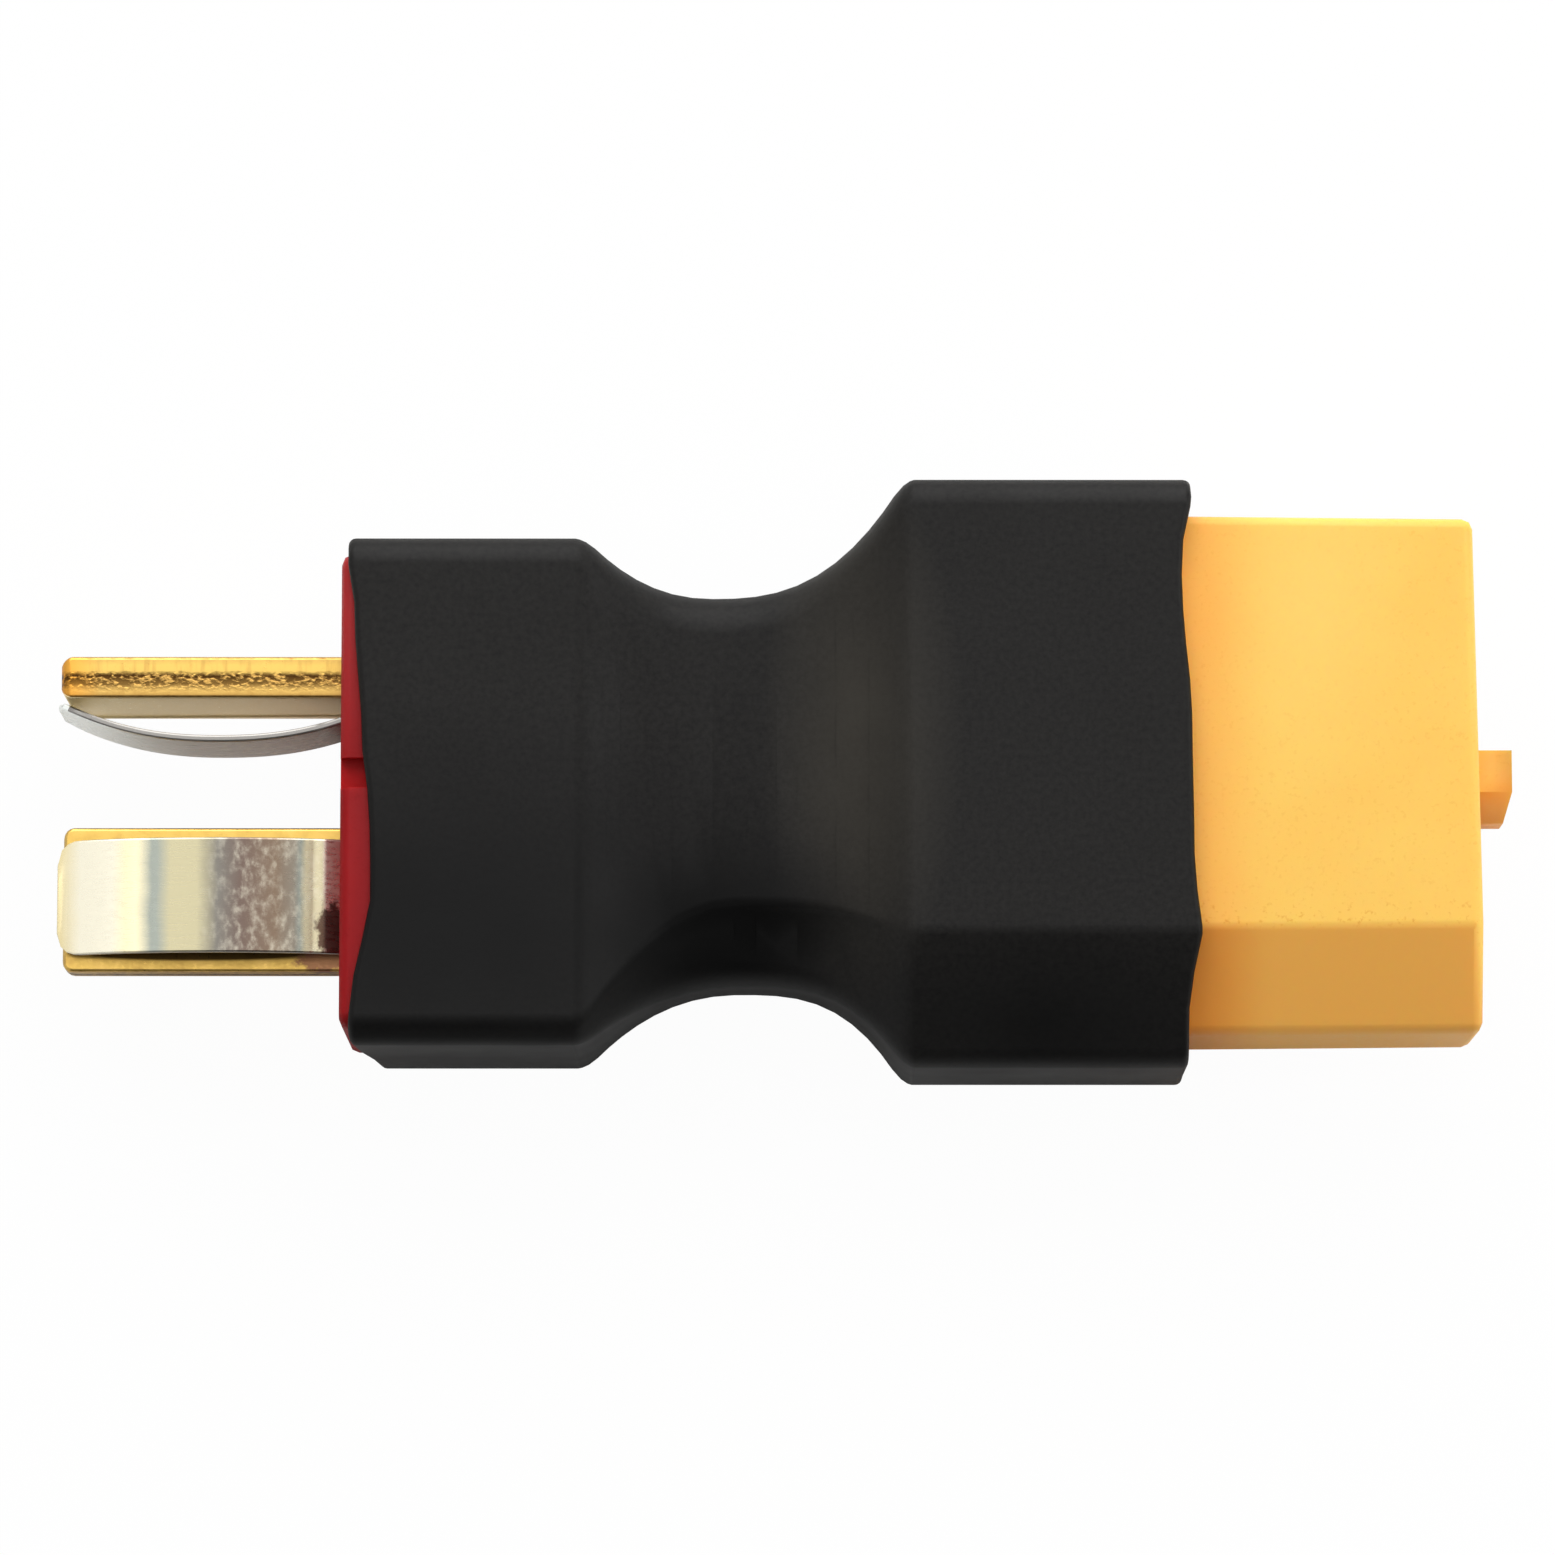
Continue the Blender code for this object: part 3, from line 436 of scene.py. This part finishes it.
# Blades: brass strip, stamped, then gold plated. The punch leaves a bright sheared band with fine
# streaks, a torn band of dark pits and a thin burr line on every edge; the faces are smooth
bladeLook = {
    "gold": "#d6b15d",
    "goldPale": "#e6bd6b",
    "goldLow": "#c39e57",
    "goldDeep": "#b48d4b",
    "pale": "#fbe7b2",
    "warm": "#df9631",
    "pit": "#3f2810",
    "burr": "#6f4a1f",
    "scorch": "#7d5145",
    "shadowLine": "#33230f",
    "halfThick": 0.6,  # mm
    "ragged": 0.2,  # mm, how far the bands on the edges wander
    "raggedPerMm": 3.0,
    # pits and streaks per mm, drawn about twice as coarse as real ones so that they show
    "pitsPerMm": (6.0, 9.0, 9.0),
    "streaksPerMm": (5.5, 0.7, 0.7),
    "pitDepth": 0.05 * mm,
    "smudgesPerMm": 1.4,
    "crumbsPerMm": 9.0,
    # through the thickness, 0 to 1: burr, dull gold, torn band, sheared band, burr
    "bands": (
        (0.0, "burr"), (0.06, "goldDeep"), (0.14, "goldLow"), (0.26, "goldLow"), (0.34, "goldDeep"),
        (0.55, "goldDeep"), (0.62, "gold"), (0.78, "gold"), (0.93, "goldLow"), (1.0, "burr")),
    # how pitted it is along the same way, from black, not at all, to white
    "torn": ((0.14, "#000000"), (0.32, "#d8d8d8"), (0.53, "#ffffff"), (0.64, "#000000")),
    # oval patches: centre and reach in mm
    "coined": ((-20.8, 2.9, 6.0), (1.3, 2.6, 4.0)),
    # painted shadow along the flat leaf's lower edge
    "underLeafShadow": ((-16.8, -4.89, 5.0), (4.2, 0.21, 0.3)),
    "heated": ((-13.1, -4.9, 5.0), (1.3, 0.9, 1.0)),
    "roughness": (0.26, 0.42),
    "flatAngle": 0.4,
    "smoothAngle": 34,
    "leadStart": -20.3 * mm,
    "leadLength": 0.345 * mm,
    "leadTaper": 0.35,
    # which way the thickness runs, its middle in mm, and how pale the leaf has rubbed the -Y face
    "upright": {"across": 1, "centre": 2.89, "rubbedPale": 0.9},
    "flat": {"across": 2, "centre": 4.40, "rubbedPale": 0.0},
}


def stampedGold(name, look, side):
    made, shader, inMm = newMaterial(name)
    parts = addNode(made, "ShaderNodeSeparateXYZ", None, {"Vector": inMm})
    ragged = addNode(made, "ShaderNodeTexNoise", None, {
        "Vector": inMm, "Scale": look["raggedPerMm"], "Detail": 4.0, "Roughness": 0.7})
    deep = addNode(made, "ShaderNodeMath", {"operation": "SUBTRACT"}, {
        0: parts.outputs[side["across"]], 1: side["centre"] + look["ragged"] / 2})
    shift = addNode(made, "ShaderNodeMath", {"operation": "MULTIPLY_ADD"}, {
        0: ragged, 1: look["ragged"], 2: deep})
    through = addNode(made, "ShaderNodeMapRange", None, {
        "Value": shift, "From Min": -look["halfThick"], "From Max": look["halfThick"]})
    bands = addNode(made, "ShaderNodeValToRGB", {"stops": [
        (place, look[colour]) for place, colour in look["bands"]]}, {"Fac": through})
    tornShare = addNode(made, "ShaderNodeValToRGB", {"stops": look["torn"]}, {"Fac": through})
    pitGrid = addNode(made, "ShaderNodeMapping", None, {
        "Vector": inMm, "Scale": look["pitsPerMm"], "Rotation": (0, 0, 0.5)})
    pits = addNode(made, "ShaderNodeTexNoise", None, {
        "Vector": pitGrid, "Scale": 1.0, "Detail": 2.0})
    pitted = addNode(made, "ShaderNodeMapRange", None, {
        "Value": pits, "From Min": 0.34, "From Max": 0.54})
    pitShare = addNode(made, "ShaderNodeMath", {"operation": "MULTIPLY"}, {0: pitted, 1: tornShare})
    streakGrid = addNode(made, "ShaderNodeMapping", None, {
        "Vector": inMm, "Scale": look["streaksPerMm"]})
    streaks = addNode(made, "ShaderNodeTexNoise", None, {
        "Vector": streakGrid, "Scale": 1.0, "Detail": 2.0})
    streakShare = addNode(made, "ShaderNodeMapRange", None, {
        "Value": streaks, "From Min": 0.5, "From Max": 0.7, "To Max": 0.55})
    streaked = addNode(made, "ShaderNodeMixRGB", None, {
        "Fac": streakShare, "Color1": bands, "Color2": hexColour(look["goldDeep"])})
    # the plating is warmer round the coined tip
    tip = patch(made, inMm, *look["coined"])
    warmed = addNode(made, "ShaderNodeMixRGB", None, {
        "Fac": tip, "Color1": streaked, "Color2": hexColour(look["warm"])})
    edge = addNode(made, "ShaderNodeMixRGB", None, {
        "Fac": pitShare, "Color1": warmed, "Color2": hexColour(look["pit"])})
    facing = addNode(made, "ShaderNodeNewGeometry")
    turned = addNode(made, "ShaderNodeSeparateXYZ", None, {"Vector": facing.outputs["True Normal"]})
    steep = addNode(made, "ShaderNodeMath", {"operation": "ABSOLUTE"}, {
        0: turned.outputs[side["across"]]})
    onEdge = addNode(made, "ShaderNodeMath", {"operation": "LESS_THAN"}, {0: steep, 1: 0.5})
    smudges = addNode(made, "ShaderNodeTexNoise", None, {
        "Vector": inMm, "Scale": look["smudgesPerMm"], "Detail": 3.0, "Roughness": 0.55})
    plain = addNode(made, "ShaderNodeValToRGB", {"stops": (
        (0.1, look["goldDeep"]), (0.5, look["gold"]), (0.8, look["goldPale"]))}, {"Fac": smudges})
    sunny = addNode(made, "ShaderNodeMath", {"operation": "LESS_THAN"}, {
        0: turned.outputs["Y"], 1: -0.5})
    paleShare = addNode(made, "ShaderNodeMath", {"operation": "MULTIPLY"}, {
        0: sunny, 1: side["rubbedPale"]})
    face = addNode(made, "ShaderNodeMixRGB", None, {
        "Fac": paleShare, "Color1": plain, "Color2": hexColour(look["pale"])})
    # painted shadow: a dark line is painted on the flat blade along the leaf's lower edge, where
    # the leaf shades it, and solder heat has scorched the plating beside the housing
    underLeafPatch = patch(made, inMm, *look["underLeafShadow"])
    underLeafShadow = addNode(made, "ShaderNodeMapRange", None, {
        "Value": underLeafPatch, "From Max": 0.3, "To Max": 0.95})
    lined = addNode(made, "ShaderNodeMixRGB", None, {
        "Fac": underLeafShadow, "Color1": face, "Color2": hexColour(look["shadowLine"])})
    colour = addNode(made, "ShaderNodeMixRGB", None, {
        "Fac": onEdge, "Color1": lined, "Color2": edge})
    heat = patch(made, inMm, *look["heated"])
    scorched = addNode(made, "ShaderNodeMath", {"operation": "MULTIPLY_ADD"}, {
        0: ragged, 1: 1.2, 2: heat})
    scorchShare = addNode(made, "ShaderNodeMapRange", None, {
        "Value": scorched, "From Min": 0.85, "From Max": 1.1, "To Max": 0.85})
    inHeat = addNode(made, "ShaderNodeMath", {"operation": "GREATER_THAN"}, {0: heat, 1: 0.02})
    scorchOnly = addNode(made, "ShaderNodeMath", {"operation": "MULTIPLY"}, {
        0: scorchShare, 1: inHeat})
    stained = addNode(made, "ShaderNodeMixRGB", None, {
        "Fac": scorchOnly, "Color1": colour, "Color2": hexColour(look["scorch"])})
    crumbs = addNode(made, "ShaderNodeTexNoise", None, {
        "Vector": inMm, "Scale": look["crumbsPerMm"], "Detail": 3.0, "Roughness": 0.7})
    smooth, rough = look["roughness"]
    gloss = addNode(made, "ShaderNodeMapRange", None, {
        "Value": crumbs, "From Min": noiseLow, "From Max": noiseHigh,
        "To Min": smooth, "To Max": rough})
    height = addNode(made, "ShaderNodeMath", {"operation": "MULTIPLY"}, {0: pitShare, 1: onEdge})
    torn = addNode(made, "ShaderNodeBump", {"invert": True}, {
        "Height": height, "Strength": 0.4, "Distance": look["pitDepth"]})
    feed(shader, {"Base Color": stained, "Metallic": 1.0, "Roughness": gloss, "Normal": torn})
    return made


for side in ("upright", "flat"):
    finish = stampedGold(side + "_stamped_gold_plate", bladeLook, bladeLook[side])
    bm = mergedCopy(side + "_blade", bladeLook["flatAngle"])
    # the tip is coined to a lead-in, thinner the nearer it is to the end
    across, centre = bladeLook[side]["across"], bladeLook[side]["centre"] * mm
    for v in bm.verts:
        tip = max(0.0, (bladeLook["leadStart"] - v.co.x) / bladeLook["leadLength"])
        v.co[across] = centre + (v.co[across] - centre) * (1 - bladeLook["leadTaper"] * tip * tip)
    piece = addPiece(side + "_stamped_blade", bm, finish, side + "_blade",
                     bladeLook["smoothAngle"])
    evenFaces(piece)
print("blades done")


# Leaf springs: beryllium copper strip, tin plated, rolled lengthwise; scuffed on the bow, burnt by
# flux at one corner of the root, and painted with reflections, bright on the bow, dull where it
# turns down
leafLook = {
    "cream": "#f8f2dc",
    "creamLow": "#b8b08f",
    "straw": "#faeec6",
    "grey": "#78746d",
    "blue": "#979c93",
    "brown": "#83705f",
    "dusk": "#90877a",
    "umber": "#6f5f57",
    "rootPale": "#f6e6da",
    "line": "#cfc5a4",
    "yellow": "#efdfae",
    "steel": "#f4f8f4",
    "steelMid": "#cbc8c3",
    "steelLow": "#b9b4b1",
    "blot": "#4a2a22",
    "cut": "#8e8b87",
    "rolling": 0.09,  # mm between roll lines, drawn twice as wide as they are
    "rollStretch": (0.12, 1.0, 1.0),
    "rollDepth": 0.006 * mm,
    "blotchesPerMm": 1.1,
    "scuffsPerMm": (4.2, 2.6, 2.6),
    "shows": (-20.785, -12.4),  # mm along X, from the leaf's tip to the housing
    "wander": 0.025,  # how far the bounds of the tones wander, as a share of what shows
    "bendAt": (0.848, 0.898),  # of what shows
    "bend": 0.045 * mm,
    "flux": ((-12.9, -4.3, 5.4), (0.85, 1.5, 1.2)),  # centre and reach in mm
    "roughness": (0.24, 0.34),
    "keep": 0.3,
    "flatAngle": 0.2,
    "smoothAngle": 20,  # under the rounding's steps of 22.5 degrees, so the width shades flat
    "cornerTurn": (60, 120),  # degrees
    "round": 0.07 * mm,
    # painted reflections: tones along what shows, from the tip, 0, to the housing, 1
    "upright": {
        "joint": "upright_leaf_press", "axis": (0, 1, 0), "anchor": (0, 2.29 * mm, 0),
        "cutFaces": 2,  # along Z
        "reflectionTones": (
            (0.0, "steel"), (0.2, "steel"), (0.45, "steelMid"), (0.8, "steelLow"), (1.0, "umber")),
    },
    "flat": {
        "joint": "flat_leaf_press", "axis": (0, 0, 1), "anchor": (0, 0, 5.0 * mm),
        "cutFaces": 1,  # along Y
        "reflectionTones": (
            (0.0, "yellow"), (0.07, "cream"), (0.18, "cream"), (0.225, "straw"),
            (0.262, "straw"), (0.315, "blue"), (0.335, "blue"), (0.38, "creamLow"),
            (0.47, "creamLow"), (0.54, "grey"), (0.62, "umber"), (0.74, "brown"),
            (0.80, "dusk"), (0.82, "blue"), (0.84, "line"), (0.895, "line"),
            (0.91, "rootPale"), (1.0, "rootPale")),
    },
}


def platedLeaf(name, look, side):
    made, shader, inMm = newMaterial(name)
    parts = addNode(made, "ShaderNodeSeparateXYZ", None, {"Vector": inMm})
    tipX, housingX = look["shows"]
    along = addNode(made, "ShaderNodeMapRange", None, {
        "Value": parts.outputs["X"], "From Min": tipX, "From Max": housingX,
        "To Min": -look["wander"], "To Max": 1 - look["wander"]})
    rollGrid = addNode(made, "ShaderNodeMapping", None, {
        "Vector": inMm, "Scale": look["rollStretch"]})
    rolled = addNode(made, "ShaderNodeTexNoise", None, {
        "Vector": rollGrid, "Scale": 1 / look["rolling"], "Detail": 2.0, "Roughness": 0.5})
    blotch = addNode(made, "ShaderNodeTexNoise", None, {
        "Vector": inMm, "Scale": look["blotchesPerMm"], "Detail": 3.0, "Roughness": 0.6})
    wander = addNode(made, "ShaderNodeMath", {"operation": "MULTIPLY_ADD"}, {
        0: blotch, 1: look["wander"], 2: along})
    # painted reflections: the tones follow where along the strip a point lies
    tone = addNode(made, "ShaderNodeValToRGB", {"stops": [
        (place, look[colour]) for place, colour in side["reflectionTones"]]}, {"Fac": wander})
    scuffGrid = addNode(made, "ShaderNodeMapping", None, {
        "Vector": inMm, "Scale": look["scuffsPerMm"]})
    scuffs = addNode(made, "ShaderNodeTexNoise", None, {
        "Vector": scuffGrid, "Scale": 1.0, "Detail": 4.0, "Roughness": 0.65})
    scuffed = addNode(made, "ShaderNodeMapRange", {"interpolation_type": "SMOOTHSTEP"}, {
        "Value": scuffs, "From Min": 0.42, "From Max": 0.8, "To Max": 0.4})
    late = addNode(made, "ShaderNodeMapRange", None, {
        "Value": along, "From Min": 0.45, "From Max": 0.6})
    worn = addNode(made, "ShaderNodeMath", {"operation": "MULTIPLY"}, {0: scuffed, 1: late})
    scratched = addNode(made, "ShaderNodeMixRGB", None, {
        "Fac": worn, "Color1": tone, "Color2": hexColour(look["cream"])})
    # a burnt blot where the flux ran out of the housing
    flux = patch(made, inMm, *look["flux"])
    ragged = addNode(made, "ShaderNodeMath", {"operation": "MULTIPLY_ADD"}, {
        0: scuffs, 1: 0.9, 2: flux})
    burnt = addNode(made, "ShaderNodeMapRange", None, {
        "Value": ragged, "From Min": 0.74, "From Max": 0.9, "To Max": 0.9})
    blotted = addNode(made, "ShaderNodeMixRGB", None, {
        "Fac": burnt, "Color1": scratched, "Color2": hexColour(look["blot"])})
    # the strip was slit after plating, so its cut edges are bare
    facing = addNode(made, "ShaderNodeNewGeometry")
    turned = addNode(made, "ShaderNodeSeparateXYZ", None, {"Vector": facing.outputs["True Normal"]})
    steep = addNode(made, "ShaderNodeMath", {"operation": "ABSOLUTE"}, {
        0: turned.outputs[side["cutFaces"]]})
    onCut = addNode(made, "ShaderNodeMath", {"operation": "GREATER_THAN"}, {0: steep, 1: 0.8})
    colour = addNode(made, "ShaderNodeMixRGB", None, {
        "Fac": onCut, "Color1": blotted, "Color2": hexColour(look["cut"])})
    smooth, rough = look["roughness"]
    gloss = addNode(made, "ShaderNodeMapRange", None, {
        "Value": rolled, "From Min": noiseLow, "From Max": noiseHigh,
        "To Min": smooth, "To Max": rough})
    # the root is set by a small upward bend, which catches the light as a line
    bendStart, bendEnd = look["bendAt"]
    bend = addNode(made, "ShaderNodeMapRange", {"interpolation_type": "SMOOTHSTEP"}, {
        "Value": along, "From Min": bendStart, "From Max": bendEnd})
    bent = addNode(made, "ShaderNodeBump", None, {
        "Height": bend, "Strength": 1.0, "Distance": look["bend"]})
    lines = addNode(made, "ShaderNodeBump", None, {
        "Height": rolled, "Normal": bent, "Strength": 0.05, "Distance": look["rollDepth"]})
    feed(shader, {"Base Color": colour, "Metallic": 1.0, "Roughness": gloss, "Normal": lines})
    return made


for side in ("upright", "flat"):
    press = leafLook[side]
    finish = platedLeaf(side + "_plated_spring_strip", leafLook, press)
    bm = mergedCopy(side + "_leaf_spring", leafLook["flatAngle"])
    corners = creases(bm, *leafLook["cornerTurn"], leastArea=0)
    rounded(bm, corners, leafLook["round"], segments=2)
    piece = addPiece(side + "_bowed_leaf", bm, finish, side + "_leaf_spring",
                     leafLook["smoothAngle"])
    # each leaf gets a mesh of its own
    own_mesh(piece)
print("leaf springs done")


# Socket contacts: brass bar, turned, gold flashed, so fine rings from the tool run round it
contactLook = {
    "gold": "#e9c063",
    "groove": "#c4953f",
    "feed": 0.12,  # mm a turn, drawn twice as wide as it is
    "wavePeriod": 0.314,  # of a Wave texture at a scale of 1
    "ringDepth": 0.008 * mm,
    "filmPerMm": 1.1,
    "roughness": (0.22, 0.36),
    "smoothAngle": 30,
}


def turnedGold(name, look):
    made, shader, inMm = newMaterial(name)
    rings = addNode(made, "ShaderNodeTexWave", {"wave_type": "BANDS", "bands_direction": "X"}, {
        "Vector": inMm, "Scale": look["wavePeriod"] / look["feed"],
        "Distortion": 0.4, "Detail": 1.0})
    film = addNode(made, "ShaderNodeTexNoise", None, {
        "Vector": inMm, "Scale": look["filmPerMm"], "Detail": 3.0})
    tone = addNode(made, "ShaderNodeValToRGB", {"stops": (
        (0.35, look["groove"]), (0.6, look["gold"]))}, {"Fac": film})
    ridges = addNode(made, "ShaderNodeBump", None, {
        "Height": rings, "Strength": 0.2, "Distance": look["ringDepth"]})
    smooth, rough = look["roughness"]
    gloss = addNode(made, "ShaderNodeMapRange", None, {
        "Value": film, "From Min": noiseLow, "From Max": noiseHigh,
        "To Min": smooth, "To Max": rough})
    feed(shader, {"Base Color": tone, "Metallic": 1.0, "Roughness": gloss, "Normal": ridges})
    return made


for side in ("upper", "lower"):
    finish = turnedGold(side + "_turned_gold_flash", contactLook)
    bm = mergedCopy(side + "_socket_contact")
    addPiece(side + "_turned_contact", bm, finish, side + "_socket_contact",
             contactLook["smoothAngle"])
print("contacts done")


# Solder: tin alloy, frozen with a soft, slightly frosted skin
solderLook = {
    "tin": "#c3c5c6",
    "frost": "#a5a8aa",
    "frostPerMm": 2.5,
    "frostDepth": 0.03 * mm,
    "roughness": (0.25, 0.5),
}


def frozenSolder(look):
    made, shader, inMm = newMaterial("tin_alloy_solder")
    frost = addNode(made, "ShaderNodeTexNoise", None, {
        "Vector": inMm, "Scale": look["frostPerMm"], "Detail": 4.0})
    tone = addNode(made, "ShaderNodeValToRGB", {"stops": (
        (0.4, look["frost"]), (0.6, look["tin"]))}, {"Fac": frost})
    smooth, rough = look["roughness"]
    gloss = addNode(made, "ShaderNodeMapRange", None, {
        "Value": frost, "From Min": noiseLow, "From Max": noiseHigh,
        "To Min": smooth, "To Max": rough})
    skin = addNode(made, "ShaderNodeBump", None, {
        "Height": frost, "Strength": 0.3, "Distance": look["frostDepth"]})
    feed(shader, {"Base Color": tone, "Metallic": 1.0, "Roughness": gloss, "Normal": skin})
    return made


solderFinish = frozenSolder(solderLook)
for side in ("upper", "lower"):
    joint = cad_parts[side + "_solder_joint"]
    for materialSlot in joint.material_slots:
        materialSlot.material = solderFinish
print("solder done")


# Studio: a white floor, a large soft panel up on the +Y side, a weaker one at the nose's end and a
# faint one overhead
studio = {
    "floor": "#f6f6f5",
    "floorWhite": 0.97,  # how far the camera sees the floor as plain white
    "floorHalf": 1.5,  # m
    "panels": {  # metres and watts
        "key": {"toward": (0.04, 0.80, 0.60), "distance": 0.34, "size": 0.38, "power": 1.42},
        "top": {"toward": (-0.10, 0.05, 0.99), "distance": 0.36, "size": 0.30, "power": 0.23},
        "side": {"toward": (0.88, 0.10, 0.46), "distance": 0.34, "size": 0.24, "power": 0.47},
    },
    "worldDiffuse": 0.17,
    "roomDim": 0.12,  # what metal sees on the dim sides, where the bright ones are 1
    "roomTurn": (-0.6, 0.7),  # Y less X of the direction, from dim to bright
}


def addPanel(name, p):
    data = bpy.data.lights.new(name, "AREA")
    data.shape = "SQUARE"
    data.size = p["size"]
    data.energy = p["power"]
    lamp = bpy.data.objects.new(name, data)
    toward = Vector(p["toward"]).normalized()
    turn = toward.to_track_quat("Z", "Y").to_matrix().to_4x4()
    lamp.matrix_world = Matrix.Translation(toward * p["distance"]) @ turn
    bpy.context.scene.collection.objects.link(lamp)


def addFloor(s):
    bm = bmesh.new()
    bmesh.ops.create_grid(bm, x_segments=2, y_segments=2, size=s["floorHalf"])
    mesh = bpy.data.meshes.new("floor")
    bm.to_mesh(mesh)
    bm.free()
    floor = bpy.data.objects.new("floor", mesh)
    bpy.context.scene.collection.objects.link(floor)
    made = bpy.data.materials.new("white_sweep")
    made.use_nodes = True
    paint = made.node_tree.nodes["Principled BSDF"]
    feed(paint, {"Base Color": hexColour(s["floor"]), "Roughness": 0.9, "Specular IOR Level": 0.1})
    path = addNode(made, "ShaderNodeLightPath")
    share = addNode(made, "ShaderNodeMath", {"operation": "MULTIPLY"}, {
        0: path.outputs["Is Camera Ray"], 1: s["floorWhite"]})
    white = addNode(made, "ShaderNodeEmission", None, {"Color": (1, 1, 1, 1), "Strength": 1.0})
    both = addNode(made, "ShaderNodeMixShader", None, {"Fac": share, 1: paint, 2: white})
    feed(made.node_tree.nodes["Material Output"], {"Surface": both})
    mesh.materials.append(made)


def addWorld(s):
    world = bpy.data.worlds.new("studio")
    bpy.context.scene.world = world
    world.use_nodes = True
    sky = world.node_tree.nodes["Background"]
    path = addNode(world, "ShaderNodeLightPath")
    direction = addNode(world, "ShaderNodeTexCoord")
    parts = addNode(world, "ShaderNodeSeparateXYZ", None, {
        "Vector": direction.outputs["Generated"]})
    # metal sees a room that is bright on the -X and +Y sides and dimmer on the others
    lean = addNode(world, "ShaderNodeMath", {"operation": "SUBTRACT"}, {
        0: parts.outputs["Y"], 1: parts.outputs["X"]})
    dimAt, brightAt = s["roomTurn"]
    glossy = addNode(world, "ShaderNodeMapRange", None, {
        "Value": lean, "From Min": dimAt, "From Max": brightAt, "To Min": s["roomDim"]})
    notGlossy = addNode(world, "ShaderNodeMix", {"data_type": "FLOAT"}, {
        0: path.outputs["Is Glossy Ray"], 2: s["worldDiffuse"], 3: glossy})
    strength = addNode(world, "ShaderNodeMix", {"data_type": "FLOAT"}, {
        0: path.outputs["Is Camera Ray"], 2: notGlossy, 3: 1.0})
    feed(sky, {"Color": (1, 1, 1, 1), "Strength": strength})


for side, panel in studio["panels"].items():
    addPanel(side + "_panel", panel)
addFloor(studio)
addWorld(studio)
bpy.context.scene.view_settings.view_transform = "Standard"
print("studio lit")
